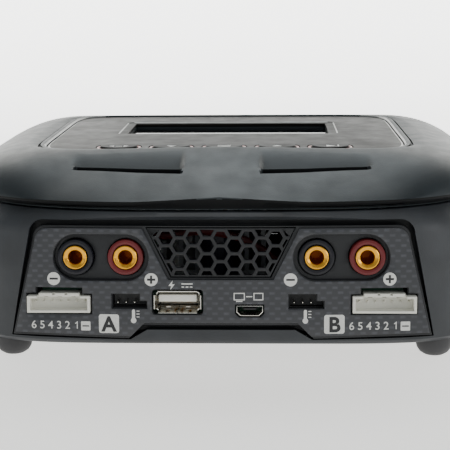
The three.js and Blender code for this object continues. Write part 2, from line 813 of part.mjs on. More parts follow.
const MODULE_TOP_Z = SHELF_BOTTOM_Z - 0.3;
function displayFrame() {
  const frame = span([-42, WINDOW.y - 20, CONTROL_BOARD_TOP_Z + 0.3],
    [42, WINDOW.y + 20, MODULE_TOP_Z]);
  return cut(
    frame,
    span([-40.8, WINDOW.y - 18.8, CONTROL_BOARD_TOP_Z - 1],
      [40.8, WINDOW.y + 18.8, MODULE_TOP_Z - 0.8]),
    box(70, 31, 10, 0, WINDOW.y, MODULE_TOP_Z),
  );
}

add("display_frame", displayFrame(), MATERIALS.steel);
add("display_glass",
  span([-40, WINDOW.y - 18, CONTROL_BOARD_TOP_Z + 0.6], [40, WINDOW.y + 18, MODULE_TOP_Z - 1.1]),
  MATERIALS.display);

// ---------------------------------------------------------------- buttons
const GUIDE_LOW = SHELF_BOTTOM_Z - GAP - 1;

// A cap with its stem and the flange that keeps it in, built about x = 0.
function buttonCap() {
  const top = PANEL_TOP_Z + BUTTON_PROUD;
  const flangeTop = GUIDE_LOW - 0.35;
  const capLow = loft([
    oval(BUTTON.w, BUTTON.d, 0, BUTTON_Y).map(([x, y]) => [x, y, flangeTop - 0.5]),
    oval(BUTTON.w, BUTTON.d, 0, BUTTON_Y).map(([x, y]) => [x, y, top - 0.4]),
    oval(BUTTON.w - 1, BUTTON.d - 1, 0, BUTTON_Y).map(([x, y]) => [x, y, top]),
  ]);
  const flange = span([-7.6, BUTTON_Y - 2.5, flangeTop - 0.9], [7.6, BUTTON_Y + 2.5, flangeTop]);
  const stem = cylinderZ(1.7, CONTROL_BOARD_TOP_Z + 2.4, flangeTop, 0, BUTTON_Y, 12);
  return join(capLow, flange, stem);
}

// One clear moulding: a strip under the shelf with a ring standing round each button.
function lightGuide() {
  const strip = span([-43, BUTTON_Y - 7, GUIDE_LOW], [43, BUTTON_Y + 7, GUIDE_LOW + 1]);
  let guide = strip;
  BUTTON_NAMES.forEach((_, i) => {
    const ring = oval(BUTTON.w + 2.4, BUTTON.d + 2.4, buttonX(i), BUTTON_Y);
    guide = join(guide, prismZ(ring, GUIDE_LOW + 0.5, PANEL_TOP_Z - 0.1));
  });
  BUTTON_NAMES.forEach((_, i) => {
    const hole = oval(BUTTON.w + 0.9, BUTTON.d + 0.9, buttonX(i), BUTTON_Y);
    guide = cut(guide, prismZ(hole, GUIDE_LOW - 2, PANEL_TOP_Z + 2));
  });
  return guide;
}

// The switch under a button, with the well that the button's stem works in.
function switchBody() {
  return cut(
    box(6, 6, 3, 0, BUTTON_Y, CONTROL_BOARD_TOP_Z + GAP + 1.5),
    cylinderZ(2.1, CONTROL_BOARD_TOP_Z + 1.6, CONTROL_BOARD_TOP_Z + 9, 0, BUTTON_Y, 12),
  );
}

BUTTON_NAMES.forEach((name, i) => {
  const cap = add(`button_${name}`, buttonCap(), MATERIALS.gloss);
  const tact = add(`switch_${name}`, switchBody(), MATERIALS.blackPlastic);
  for (const mesh of [cap, tact]) mesh.position.x = buttonX(i);
});

add("light_guide", lightGuide(), MATERIALS.light);
add("control_board",
  span([-50, -46, CONTROL_BOARD_TOP_Z - BOARD_THICKNESS], [50, 34, CONTROL_BOARD_TOP_Z]),
  MATERIALS.board);

// ---------------------------------------------------------------- rear panel pieces
const AC_BODY = { w: 27, h: 20, depth: 24 };

// Slots across the fan's round outlet.
function rearSlots() {
  const pitch = 5.2;
  const radius = 15.6;
  const slots = [-2, -1, 0, 1, 2].map((row) => {
    const z = row * pitch;
    const half = Math.sqrt(radius * radius - z * z);
    return [-1, 1].map((side) =>
      box(half - 1, 12, pitch - 1.6, FAN.x + side * (half / 2 + 0.5), -2, FAN.z + z),
    );
  });
  return slots.flat();
}

function rearPanel() {
  const bowed = bowedSlab(-2.5, 0, 66, 5, 50, -PANEL_CURVE);
  let panel = bowed.intersect(prismY(rearOutline(0), -10, 5));
  panel = cut(
    panel,
    box(AC_BODY.w + 0.8, 20, AC_BODY.h + 0.8, AC.x, 0, AC.z),
    box(20.8, 20, 11.2, DC.x, 0, DC.z),
    ...rearSlots(),
  );
  return panel;
}

add("rear_panel", rearPanel(), MATERIALS.housing, rear);

const AC_BLADES = [
  [-7, -2],
  [7, -2],
  [0, 2],
];

// The mains inlet: a shroud with two cut corners round three blades.
function acInlet() {
  const flangeOutline = roundedRectangle(31, 24, 2, 3, AC.x, AC.z);
  const flange = prismY(flangeOutline, 0.3, 2.5);
  const body = box(AC_BODY.w, AC_BODY.depth, AC_BODY.h, AC.x, 0.3 - AC_BODY.depth / 2 + 0.2, AC.z);
  const [w, h, c] = [12.2, 8.2, 3.6];
  const cavity = [
    [-w, -h], [w, -h], [w, h - c], [w - c, h], [-w + c, h], [-w, h - c],
  ].map(([x, z]) => [AC.x + x, AC.z + z]);
  const blades = AC_BLADES.map(([x, z]) => box(2, 27, 4, AC.x + x, -15.5, AC.z + z));
  return join(cut(join(flange, body), prismY(cavity, -15.5, 5)), ...blades);
}

add("ac_inlet", acInlet(), MATERIALS.blackPlastic, rear);

// The DC inlet: a keyed shroud round two round pins.
function dcHousing() {
  const flange = prismY(roundedRectangle(25, 15, 1.5, 2, DC.x, DC.z), 0.3, 2.3);
  const body = box(20, 16, 10.4, DC.x, 0.5 - 8, DC.z);
  const cavity = [
    [-7.8, -3.9], [7, -3.9], [8.6, -2.2], [8.6, 2.2], [7, 3.9], [-7.8, 3.9],
  ].map(([x, z]) => [DC.x + x, DC.z + z]);
  return cut(
    join(flange, body),
    prismY(cavity, -12, 5),
    cylinderY(2.1, -20, 0, DC.x - 3.6, DC.z, 12),
    cylinderY(2.1, -20, 0, DC.x + 3.6, DC.z, 12),
  );
}

add("dc_inlet_housing", dcHousing(), MATERIALS.blackPlastic, rear);
for (const [name, side] of [["negative", -1], ["positive", 1]]) {
  const pin = cylinderY(1.75, -18, 0, DC.x + side * 3.6, DC.z, 14);
  add(`dc_inlet_pin_${name}`, pin, MATERIALS.gold, rear);
}

// ---------------------------------------------------------------- fan
const FAN_BACK_Y = REAR_Y - 5.3; // the fan's outlet face
const FAN_FRONT_Y = FAN_BACK_Y - FAN.depth;
const FAN_BORE = 16.4;

function fanFrame() {
  const half = FAN.size / 2;
  const outline = roundedRectangle(FAN.size, FAN.size, 3, 2, FAN.x, FAN.z);
  let frame = cut(
    prismY(outline, FAN_FRONT_Y, FAN_BACK_Y),
    cylinderY(FAN_BORE, FAN_FRONT_Y - 1, FAN_BACK_Y + 1, FAN.x, FAN.z, 32),
  );
  for (const [sx, sz] of CORNERS) {
    const [x, z] = [FAN.x + sx * (half - 2.7), FAN.z + sz * (half - 2.7)];
    frame = cut(frame, cylinderY(1.4, FAN_FRONT_Y - 1, FAN_BACK_Y + 1, x, z, 8));
  }
  const spokes = [0, 120, 240].map((degrees) => {
    const spoke = new THREE.BoxGeometry(FAN_BORE + 0.4, 1.2, 1.8)
      .translate(FAN_BORE / 2 + 0.2, 0, 0)
      .rotateY(THREE.MathUtils.degToRad(degrees + 15))
      .translate(FAN.x, FAN_BACK_Y - 0.6, FAN.z);
    return solid(spoke);
  });
  const hub = cylinderY(8, FAN_BACK_Y - 1.2, FAN_BACK_Y, FAN.x, FAN.z, 20);
  return join(frame, hub, ...spokes);
}

function fanRotor() {
  const hub = cylinderY(8.4, FAN_FRONT_Y + 0.6, FAN_BACK_Y - 1.8, FAN.x, FAN.z, 20);
  const middle = (FAN_FRONT_Y + FAN_BACK_Y) / 2 - 0.6;
  const blades = Array.from({ length: 7 }, (_, i) => {
    const blade = new THREE.BoxGeometry(8, 1, 7.6)
      .rotateX(THREE.MathUtils.degToRad(48))
      .translate(11.9, 0, 0)
      .rotateY((i / 7) * 2 * Math.PI)
      .translate(FAN.x, middle, FAN.z);
    return solid(blade);
  });
  const sweep = cylinderY(FAN_BORE - 0.6, FAN_FRONT_Y + 0.6, FAN_BACK_Y - 1.8, FAN.x, FAN.z, 32);
  return join(hub, ...blades).intersect(sweep);
}

add("fan_frame", fanFrame(), MATERIALS.blackPlastic);
add("fan_rotor", fanRotor(), MATERIALS.blackPlastic);

// ---------------------------------------------------------------- power parts inside
const BOARD_Z = 13.5;
const BOARD_TOP = BOARD_Z + BOARD_THICKNESS;

function mainBoard() {
  let board = prismZ(
    [[-66, -59], [66, -59], [66, 57], [18, 57], [18, 44], [-66, 44]], BOARD_Z, BOARD_TOP,
  );
  for (const [sx, sy] of CORNERS) {
    board = cut(board, cylinderZ(5.2, BOARD_Z - 2, BOARD_TOP + 2, sx * SCREW.x, sy * SCREW.y, 14));
  }
  return board;
}

const CORE = { x: 37, y: 18, w: 30, d: 32, h: 27, leg: 9, window: [5, 21] };

function transformerCore() {
  const z = BOARD_TOP + GAP;
  const core = box(CORE.w, CORE.d, CORE.h, CORE.x, CORE.y, z + CORE.h / 2);
  const windows = [-1, 1].map((side) => {
    const x = CORE.x + side * (CORE.leg / 2 + 2.75);
    return span([x - 2.75, -1, z + CORE.window[0]], [x + 2.75, 40, z + CORE.window[1]]);
  });
  return cut(core, ...windows);
}

// The coil wound round the core's middle leg.
function transformerWinding() {
  const z = BOARD_TOP + GAP;
  const [low, high] = CORE.window.map((height) => z + height);
  const inner = [CORE.leg / 2 + GAP, CORE.d / 2 + GAP];
  const wrap = 4.6;
  const block = (hx, hy, z0, z1) =>
    span([CORE.x - hx, CORE.y - hy, z0], [CORE.x + hx, CORE.y + hy, z1]);
  return cut(
    block(inner[0] + wrap, inner[1] + wrap, low + 0.5, high - 0.5),
    block(inner[0], inner[1], low - 2, high + 2),
  );
}

const CAPACITORS = {
  mains: { x: -50, y: 12, r: 9, h: 29 },
  output: { x: -2, y: -41, r: 6.5, h: 21 },
};

function heatSink() {
  const z = BOARD_TOP + GAP;
  const fins = Array.from({ length: 9 }, (_, i) =>
    span([-33 + i * 5.6, -28, z], [-31.4 + i * 5.6, 32, z + 24]),
  );
  const plate = span([-33, -28, z], [-31.4 + 8 * 5.6, 32, z + 3]);
  return join(plate, ...fins);
}

add("main_board", mainBoard(), MATERIALS.board);
add("transformer_core", transformerCore(), MATERIALS.blackPlastic);
add("transformer_winding", transformerWinding(), MATERIALS.copper);
for (const [name, { x, y, r, h }] of Object.entries(CAPACITORS)) {
  const can = cylinderZ(r, BOARD_TOP + GAP, BOARD_TOP + h, x, y, 20);
  add(`capacitor_${name}`, can, MATERIALS.blackPlastic);
}
add("heat_sink", heatSink(), MATERIALS.aluminium);

// The lead that brings power from the main board up to the connector board.
function outputLead() {
  const radius = 1.3;
  const section = new THREE.Shape();
  section.absarc(0, 0, radius, 0, 2 * Math.PI);
  const points = [
    [25, -52, BOARD_TOP + 0.5],
    [24.8, -52.2, 20],
    [8, -54, 34],
    [-6, -54.5, 37.5],
    [-20, -55, 36],
    [-24.5, -58, 38],
  ];
  const route = new THREE.CatmullRomCurve3(points.map((p) => new THREE.Vector3(...p)));
  const options = { steps: 16, curveSegments: 4, extrudePath: route, bevelEnabled: false };
  return solid(new THREE.ExtrudeGeometry(section, options));
}

add("output_lead", outputLead(), MATERIALS.redPlastic);

// ---------------------------------------------------------------- feet and screws
const FOOT_PROFILE = [
  [0, 0],
  [2.4, 0],
  [4.7, 1.3],
  [FOOT_RADIUS, 4.2],
  [FOOT_RADIUS, FOOT_HEIGHT - GAP],
  [0, FOOT_HEIGHT - GAP],
];
const CORNER_NAMES = ["front_left", "front_right", "rear_right", "rear_left"];

CORNERS.forEach(([sx, sy], i) => {
  const foot = turned(FOOT_PROFILE, 16);
  const mesh = add(`foot_${CORNER_NAMES[i]}`,
    solid(geometryOf(foot).rotateX(Math.PI / 2)), MATERIALS.rubber);
  mesh.position.set(sx * FOOT_X, sy * FOOT_Y, 0);
});

function caseScrew() {
  return join(
    cylinderZ(3, BASE_BOTTOM_Z + 0.9, BASE_BOTTOM_Z + 3.1, 0, 0, 12),
    cylinderZ(1.5, BASE_BOTTOM_Z + 3, 28, 0, 0, 8),
  );
}

CORNERS.forEach(([sx, sy], i) => {
  const screw = add(`case_screw_${CORNER_NAMES[i]}`, caseScrew(), MATERIALS.steel);
  screw.position.set(sx * SCREW.x, sy * SCREW.y, 0);
});

export default root;
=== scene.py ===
"""The looks of a two-channel balance battery charger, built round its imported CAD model."""

import math

import bmesh
import bpy
import numpy as np
from mathutils import Matrix, Vector


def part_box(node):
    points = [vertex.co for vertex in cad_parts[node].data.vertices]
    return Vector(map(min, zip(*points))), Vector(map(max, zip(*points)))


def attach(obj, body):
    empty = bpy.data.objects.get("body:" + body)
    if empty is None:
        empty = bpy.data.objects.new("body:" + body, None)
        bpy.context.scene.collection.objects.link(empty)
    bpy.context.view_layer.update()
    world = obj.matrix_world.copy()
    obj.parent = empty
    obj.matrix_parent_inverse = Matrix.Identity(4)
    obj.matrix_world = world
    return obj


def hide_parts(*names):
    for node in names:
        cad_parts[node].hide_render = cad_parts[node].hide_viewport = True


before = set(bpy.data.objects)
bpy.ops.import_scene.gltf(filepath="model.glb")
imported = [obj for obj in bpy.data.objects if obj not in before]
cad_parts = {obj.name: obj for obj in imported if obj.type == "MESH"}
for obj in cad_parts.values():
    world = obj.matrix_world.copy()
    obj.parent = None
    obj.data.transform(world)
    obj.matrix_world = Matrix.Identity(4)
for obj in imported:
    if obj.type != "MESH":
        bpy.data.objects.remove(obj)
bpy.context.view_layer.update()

MM = 0.001  # every shape below is worked out in millimetres, then brought to metres


def node_box(node):
    """A CAD node's lowest and highest corners, in millimetres."""
    low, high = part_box(node)
    return np.array(low) / MM, np.array(high) / MM


def middle(node):
    low, high = node_box(node)
    return (low + high) / 2


# ---------------------------------------------------------------- camera and light
CAMERA_PLACE = (0.01521, -0.43320, 0.11774)
CAMERA_YAW = 0.03835  # radians, to the left
CAMERA_PITCH = 0.20357  # downwards
CAMERA_ROLL = -0.00796
FOCAL_LENGTH = 97.96  # on a sensor 36 mm wide


def make_camera():
    forward = Vector((
        -math.sin(CAMERA_YAW) * math.cos(CAMERA_PITCH),
        math.cos(CAMERA_YAW) * math.cos(CAMERA_PITCH),
        -math.sin(CAMERA_PITCH),
    ))
    right = Vector((math.cos(CAMERA_YAW), math.sin(CAMERA_YAW), 0))
    up = right.cross(forward)
    turned_right = right * math.cos(CAMERA_ROLL) + up * math.sin(CAMERA_ROLL)
    turned_up = up * math.cos(CAMERA_ROLL) - right * math.sin(CAMERA_ROLL)
    data = bpy.data.cameras.new("camera")
    data.lens = FOCAL_LENGTH
    data.sensor_width = 36
    data.clip_start = 0.01
    camera = bpy.data.objects.new("camera", data)
    bpy.context.scene.collection.objects.link(camera)
    turn = Matrix((turned_right, turned_up, -forward)).transposed().to_4x4()
    camera.matrix_world = Matrix.Translation(CAMERA_PLACE) @ turn
    bpy.context.scene.camera = camera


def area_light(name, place, target, size, power, color=(1, 1, 1)):
    """A soft rectangular light: places and sizes in metres, power in watts."""
    data = bpy.data.lights.new(name, "AREA")
    data.shape = "RECTANGLE"
    data.size, data.size_y = size
    data.energy = power
    data.color = color
    light = bpy.data.objects.new(name, data)
    bpy.context.scene.collection.objects.link(light)
    light.location = place
    direction = Vector(target) - Vector(place)
    light.rotation_euler = direction.to_track_quat("-Z", "Y").to_euler()


def make_light():
    """An even, slightly cool room, a softbox above and behind, and three fills in front."""
    world = bpy.data.worlds.new("studio")
    bpy.context.scene.world = world
    world.use_nodes = True
    background = world.node_tree.nodes["Background"]
    background.inputs["Color"].default_value = (0.90, 0.96, 1.0, 1)
    background.inputs["Strength"].default_value = 0.42
    body = (0, 0, 0.03)
    area_light("softbox", (0.0, 0.62, 1.0), (0, -0.03, 0.05), (0.40, 0.5), 4.3, (0.86, 0.96, 1.0))
    area_light("front_fill", (0.3, -1.3, 0.7), body, (1.2, 0.7), 1.6)
    area_light("right_fill", (1.3, -0.75, 0.45), body, (0.6, 0.6), 4.5)
    area_light("left_fill", (-1.3, -0.75, 0.45), body, (0.6, 0.6), 0.8)


make_camera()
make_light()


# ---------------------------------------------------------------- node materials
def new_material(name):
    material = bpy.data.materials.new(name)
    material.use_nodes = True
    tree = material.node_tree
    shader = tree.nodes["Principled BSDF"]
    return material, tree, shader


def node(tree, kind, **values):
    made = tree.nodes.new(kind)
    for key, value in values.items():
        if key in made.inputs:
            made.inputs[key].default_value = value
        else:
            setattr(made, key, value)
    return made


def millimetres(tree):
    """The point in the object's own frame, in millimetres."""
    place = node(tree, "ShaderNodeTexCoord")
    scale = node(tree, "ShaderNodeVectorMath", operation="SCALE")
    scale.inputs["Scale"].default_value = 1 / MM
    tree.links.new(place.outputs["Object"], scale.inputs[0])
    return scale.outputs[0]


def noise(tree, point, size, detail=4.0, roughness=0.55):
    """Noise whose lumps are about this many millimetres across."""
    made = node(tree, "ShaderNodeTexNoise", Scale=1 / size, Detail=detail, Roughness=roughness)
    tree.links.new(point, made.inputs["Vector"])
    return made.outputs["Fac"]


def spread(tree, value, low, high, start=0.3, end=0.7):
    """The value mapped onto low..high."""
    made = node(tree, "ShaderNodeMapRange")
    made.inputs["From Min"].default_value = start
    made.inputs["From Max"].default_value = end
    made.inputs["To Min"].default_value = low
    made.inputs["To Max"].default_value = high
    tree.links.new(value, made.inputs["Value"])
    return made.outputs["Result"]


def blend_colours(tree, factor, first, second):
    made = node(tree, "ShaderNodeMix", data_type="RGBA")
    tree.links.new(factor, made.inputs["Factor"])
    for socket, colour in (("A", first), ("B", second)):
        slot = [s for s in made.inputs if s.name == socket and s.type == "RGBA"][0]
        if isinstance(colour, tuple):
            slot.default_value = (*colour, 1)
        else:
            tree.links.new(colour, slot)
    return [s for s in made.outputs if s.type == "RGBA"][0]


def bump(tree, shader, height, depth, strength=1.0):
    """A bump of some depth in millimetres."""
    made = node(tree, "ShaderNodeBump")
    made.inputs["Strength"].default_value = strength
    made.inputs["Distance"].default_value = depth * MM
    tree.links.new(height, made.inputs["Height"])
    tree.links.new(made.outputs["Normal"], shader.inputs["Normal"])
    return made


def moulded(name, colour, roughness, grain=0.35, grain_depth=0.02, tint=0.25, specular=0.5):
    """Moulded plastic: a fine even grain, and slow drifts of colour and gloss."""
    material, tree, shader = new_material(name)
    point = millimetres(tree)
    drift = noise(tree, point, 14, 3)
    dark = tuple(c * (1 - tint) for c in colour)
    light = tuple(c * (1 + tint) for c in colour)
    colours = blend_colours(tree, spread(tree, drift, 0, 1), dark, light)
    tree.links.new(colours, shader.inputs["Base Color"])
    smudge = noise(tree, point, 6, 5)
    rough = spread(tree, smudge, roughness * 0.88, roughness * 1.12)
    tree.links.new(rough, shader.inputs["Roughness"])
    shader.inputs["Specular IOR Level"].default_value = specular
    bump(tree, shader, noise(tree, point, grain, 2), grain_depth)
    return material


def metal(name, colour, roughness, scratch=0.6, depth=0.004):
    """Plated or bare metal, with faint handling marks."""
    material, tree, shader = new_material(name)
    point = millimetres(tree)
    marks = noise(tree, point, scratch, 4)
    dark = tuple(c * 0.82 for c in colour)
    tree.links.new(blend_colours(tree, spread(tree, marks, 0, 1), dark, colour),
                   shader.inputs["Base Color"])
    shader.inputs["Metallic"].default_value = 1.0
    tree.links.new(spread(tree, marks, roughness * 0.8, roughness * 1.25),
                   shader.inputs["Roughness"])
    bump(tree, shader, marks, depth)
    return material


def maths(tree, operation, first, second=0.0):
    """One Math node on sockets or numbers."""
    made = node(tree, "ShaderNodeMath", operation=operation)
    for socket, value in zip(made.inputs, (first, second)):
        if isinstance(value, (int, float)):
            socket.default_value = value
        else:
            tree.links.new(value, socket)
    return made.outputs[0]


def woven(name):
    """The overlay's printed weave: short light dashes in staggered rows under a clear film."""
    material, tree, shader = new_material(name)
    point = millimetres(tree)
    split = node(tree, "ShaderNodeSeparateXYZ")
    tree.links.new(point, split.inputs[0])
    rows = maths(tree, "DIVIDE", split.outputs["Z"], WEAVE_ROW)
    odd = maths(tree, "MODULO", maths(tree, "FLOOR", rows), 2.0)
    along = maths(tree, "ADD", maths(tree, "DIVIDE", split.outputs["X"], WEAVE_PITCH),
                  maths(tree, "MULTIPLY", odd, 0.5))
    u = maths(tree, "ABSOLUTE", maths(tree, "SUBTRACT", maths(tree, "FRACT", along), 0.5))
    v = maths(tree, "ABSOLUTE", maths(tree, "SUBTRACT", maths(tree, "FRACT", rows), 0.5))
    length = spread(tree, u, 1, 0, 0.16, 0.30)
    height = spread(tree, v, 1, 0, 0.13, 0.34)
    dash = maths(tree, "MULTIPLY", length, height)
    patch = spread(tree, noise(tree, point, 3.0, 2), 0.35, 1.0)
    tone = blend_colours(tree, maths(tree, "MULTIPLY", dash, patch),
                         (0.018, 0.0195, 0.024), (0.050, 0.053, 0.064))
    tree.links.new(tone, shader.inputs["Base Color"])
    tree.links.new(spread(tree, noise(tree, point, 5, 3), 0.36, 0.44), shader.inputs["Roughness"])
    shader.inputs["Coat Weight"].default_value = 0.2
    shader.inputs["Coat Roughness"].default_value = 0.35
    bump(tree, shader, dash, 0.012, 0.6)
    return material


def printed(name, colour, roughness=0.5):
    """Screen-printed ink, slightly uneven."""
    material, tree, shader = new_material(name)
    point = millimetres(tree)
    coverage = noise(tree, point, 0.3, 3)
    dark = tuple(c * 0.8 for c in colour)
    tree.links.new(blend_colours(tree, spread(tree, coverage, 0, 1), dark, colour),
                   shader.inputs["Base Color"])
    shader.inputs["Roughness"].default_value = roughness
    bump(tree, shader, coverage, 0.01)
    return material


def glowing(name, colour, strength, height):
    """A clear moulding that glows above a height: brighter in places, duller in others."""
    material, tree, shader = new_material(name)
    point = millimetres(tree)
    cloud = noise(tree, point, 2.5, 3)
    dim = tuple(c * 0.35 for c in colour)
    tone = blend_colours(tree, spread(tree, cloud, 0, 1), dim, colour)
    split = node(tree, "ShaderNodeSeparateXYZ")
    tree.links.new(point, split.inputs[0])
    lit = spread(tree, split.outputs["Z"], 0, 1, height - 0.3, height)
    unlit = (0.02, 0.004, 0.003)
    tree.links.new(blend_colours(tree, lit, unlit, tone), shader.inputs["Base Color"])
    tree.links.new(blend_colours(tree, lit, (0, 0, 0), tone), shader.inputs["Emission Color"])
    shader.inputs["Emission Strength"].default_value = strength
    shader.inputs["Roughness"].default_value = 0.3
    bump(tree, shader, cloud, 0.02)
    return material


WEAVE_PITCH = 3.45  # from dash to dash
WEAVE_ROW = 1.56  # from row to row
LIT_FROM = 61.9  # the height above which the buttons' light guide glows

MATERIALS = {
    "housing": moulded("housing_plastic", (0.017, 0.020, 0.024), 0.46, 0.4, 0.03),
    "cover": moulded("cover_plastic", (0.021, 0.026, 0.029), 0.46, 0.45, 0.03, 0.12, 0.17),
    # painted shade: near-black laid on the cover's downward undercut, its scoop slots and the grooves by its
    # crescents
    "painted_shade": moulded("painted_shade_plastic", (0.003, 0.0035, 0.004), 0.5, 0.4, 0.02, 0.2, 0.1),
    # own black, set darker than the housing; part of that darkness is painted shade for the socket pods and the
    # groove round the front panel
    "recess": moulded("recess_plastic_with_painted_shade", (0.011, 0.012, 0.014), 0.5, 0.4, 0.02, 0.2, 0.4),
    "gloss": moulded("gloss_black", (0.012, 0.011, 0.010), 0.42, 8, 0.003, 0.2, 0.045),
    # painted highlight: a light grey laid on rounded edges and lips where they catch the light
    "edge": moulded("plate_edge_painted_highlight", (0.20, 0.20, 0.19), 0.35, 1.5, 0.01),
    "rubber": moulded("foot_rubber", (0.026, 0.026, 0.028), 0.6, 0.5, 0.05),
    "ring_black": moulded("ring_black", (0.008, 0.008, 0.012), 0.28, 1.5, 0.006, 0.2, 0.3),
    "ring_red": moulded("ring_red", (0.125, 0.012, 0.013), 0.30, 1.5, 0.006, 0.2, 0.35),
    "nylon": moulded("nylon", (0.70, 0.69, 0.62), 0.42, 1.2, 0.01, 0.05),
    "port_black": moulded("port_black", (0.006, 0.006, 0.007), 0.42, 0.8, 0.01),
    "cap": moulded("button_cap", (0.012, 0.012, 0.012), 0.46, 1.5, 0.004, 0.2, 0.04),
    "lens": moulded("display_lens", (0.004, 0.005, 0.006), 0.04, 20, 0.001, 0.2, 0.3),
    "gold": metal("gold_plate", (0.80, 0.40, 0.045), 0.24),
    # painted shade: a darker copy of the gold for the faces deep inside the sockets' bores
    "bore": metal("gold_painted_shade", (0.55, 0.19, 0.03), 0.42),
    "nickel": metal("nickel_plate", (0.78, 0.76, 0.70), 0.24),
    "zinc": metal("zinc_plate", (0.62, 0.63, 0.64), 0.35),
    "aluminium": metal("extruded_aluminium", (0.62, 0.63, 0.65), 0.42, 0.3, 0.02),
    "enamel": metal("enamelled_wire", (0.52, 0.22, 0.07), 0.35, 0.5, 0.05),
    "ferrite": moulded("ferrite", (0.03, 0.03, 0.033), 0.7, 0.6, 0.05),
    "board": moulded("board_green", (0.012, 0.10, 0.045), 0.35, 1.6, 0.03),
    "sleeve": moulded("capacitor_sleeve", (0.015, 0.018, 0.035), 0.3, 4, 0.01),
    "lead_red": moulded("lead_red", (0.10, 0.010, 0.010), 0.45, 1.2, 0.01),
    "weave": woven("overlay_weave"),
    "ink": printed("light_ink", (0.70, 0.70, 0.67)),
    "dark_ink": printed("dark_ink", (0.012, 0.012, 0.014)),
    "lit_red": glowing("lit_red", (0.34, 0.07, 0.055), 0.1, LIT_FROM),
    "glass": moulded("display_glass", (0.010, 0.014, 0.018), 0.12, 10, 0.003),
}


# ---------------------------------------------------------------- mesh helpers
def make_object(name, vertices, faces, material=None):
    """An object from vertices in millimetres, its origin at the row frame's origin."""
    mesh = bpy.data.meshes.new(name)
    mesh.from_pydata([tuple(v) for v in vertices], [], [tuple(f) for f in faces])
    mesh.validate()
    made = bpy.data.objects.new(name, mesh)
    bpy.context.scene.collection.objects.link(made)
    if material:
        mesh.materials.append(MATERIALS[material])
    return made


def apply_modifiers(target):
    graph = bpy.context.evaluated_depsgraph_get()
    mesh = bpy.data.meshes.new_from_object(target.evaluated_get(graph))
    target.modifiers.clear()
    target.data = mesh
    return target


def cut(target, *cutters, operation="DIFFERENCE"):
    """Booleans the cutters into the target, then removes them."""
    for cutter in cutters:
        modifier = target.modifiers.new("cut", "BOOLEAN")
        modifier.operation = operation
        modifier.solver = "EXACT"
        modifier.object = cutter
    apply_modifiers(target)
    for cutter in cutters:
        bpy.data.objects.remove(cutter)
    return target


def soften(target, width, segments=2, angle=40):
    """Rounds the edges sharper than an angle, in degrees."""
    modifier = target.modifiers.new("soften", "BEVEL")
    modifier.width = width
    modifier.segments = segments
    modifier.limit_method = "ANGLE"
    modifier.angle_limit = math.radians(angle)
    return apply_modifiers(target)


def merge(name, parts):
    """Several objects as one."""
    bpy.ops.object.select_all(action="DESELECT")
    for part in parts:
        part.select_set(True)
    bpy.context.view_layer.objects.active = parts[0]
    bpy.ops.object.join()
    parts[0].name = name
    parts[0].data.name = name
    return parts[0]


def finish_piece(made, body, replaced=(), smooth=32):
    """Shades a piece, brings it to metres and fixes it to its body."""
    if made.type == "MESH":
        made.data.transform(Matrix.Scale(MM, 4))
        made.data.shade_smooth()
        made.data.set_sharp_from_angle(angle=math.radians(smooth))
    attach(made, body)
    if replaced:
        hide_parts(*replaced)
    return made


def from_curve(name, curve, move, material):
    """A mesh object made from a curve or a text, moved and given its material."""
    holder = bpy.data.objects.new(name, curve)
    bpy.context.scene.collection.objects.link(holder)
    graph = bpy.context.evaluated_depsgraph_get()
    mesh = bpy.data.meshes.new_from_object(holder.evaluated_get(graph))
    bpy.data.objects.remove(holder)
    made = bpy.data.objects.new(name, mesh)
    bpy.context.scene.collection.objects.link(made)
    mesh.transform(Matrix.Translation(move))
    mesh.materials.clear()
    mesh.materials.append(MATERIALS[material])
    return made


def bridge(rows, close_first=True, close_last=True):
    """Faces over rows of equally many points, each row a closed ring."""
    count = len(rows[0])
    vertices = [p for row in rows for p in row]
    faces = []
    for r in range(len(rows) - 1):
        for i in range(count):
            j = (i + 1) % count
            faces.append((r * count + i, r * count + j, (r + 1) * count + j, (r + 1) * count + i))
    if close_first:
        faces.append(tuple(reversed(range(count))))
    if close_last:
        faces.append(tuple((len(rows) - 1) * count + i for i in range(count)))
    return vertices, faces


def loft(name, rows, material=None, close_first=True, close_last=True):
    """A skin over rows of points, with its ends closed or open."""
    return make_object(name, *bridge(rows, close_first, close_last), material)


def prism(name, outline, low, high, material=None):
    """An outline of (x, y) points raised from one height to another."""
    return loft(name, [[(x, y, z) for x, y in outline] for z in (low, high)], material)


def lathe(name, profile, centre, material, axis="Y", segments=72, turn=None):
    """A closed profile of (radius, distance along the axis) turned about that axis."""
    rows = []
    for i in range(segments):
        angle = 2 * math.pi * i / segments
        c, s = math.cos(angle), math.sin(angle)
        if axis == "Y":
            ring = [Vector((r * c, d, r * s)) for r, d in profile]
        else:
            ring = [Vector((r * c, r * s, d)) for r, d in profile]
        if turn:
            ring = [turn @ p for p in ring]
        rows.append([p + Vector(centre) for p in ring])
    count = len(profile)
    vertices = [p for row in rows for p in row]
    faces = []
    for i in range(segments):
        j = (i + 1) % segments
        for k in range(count):
            n = (k + 1) % count
            faces.append((i * count + k, i * count + n, j * count + n, j * count + k))
    return clean(make_object(name, vertices, faces, material))


def clean(target, distance=1e-4):
    """Merges doubled points and points every face outwards."""
    mesh = bmesh.new()
    mesh.from_mesh(target.data)
    bmesh.ops.remove_doubles(mesh, verts=mesh.verts, dist=distance)
    bmesh.ops.recalc_face_normals(mesh, faces=mesh.faces)
    mesh.to_mesh(target.data)
    mesh.free()
    return target


def block(name, low, high, material=None, turn=None):
    """A box between two corners, in millimetres."""
    corners = [Vector((x, y, z)) for z in (low[2], high[2]) for y in (low[1], high[1])
               for x in (low[0], high[0])]
    faces = [(0, 2, 3, 1), (4, 5, 7, 6), (0, 1, 5, 4), (2, 6, 7, 3), (0, 4, 6, 2), (1, 3, 7, 5)]
    if turn:
        corners = [turn @ p for p in corners]
    return make_object(name, corners, faces, material)


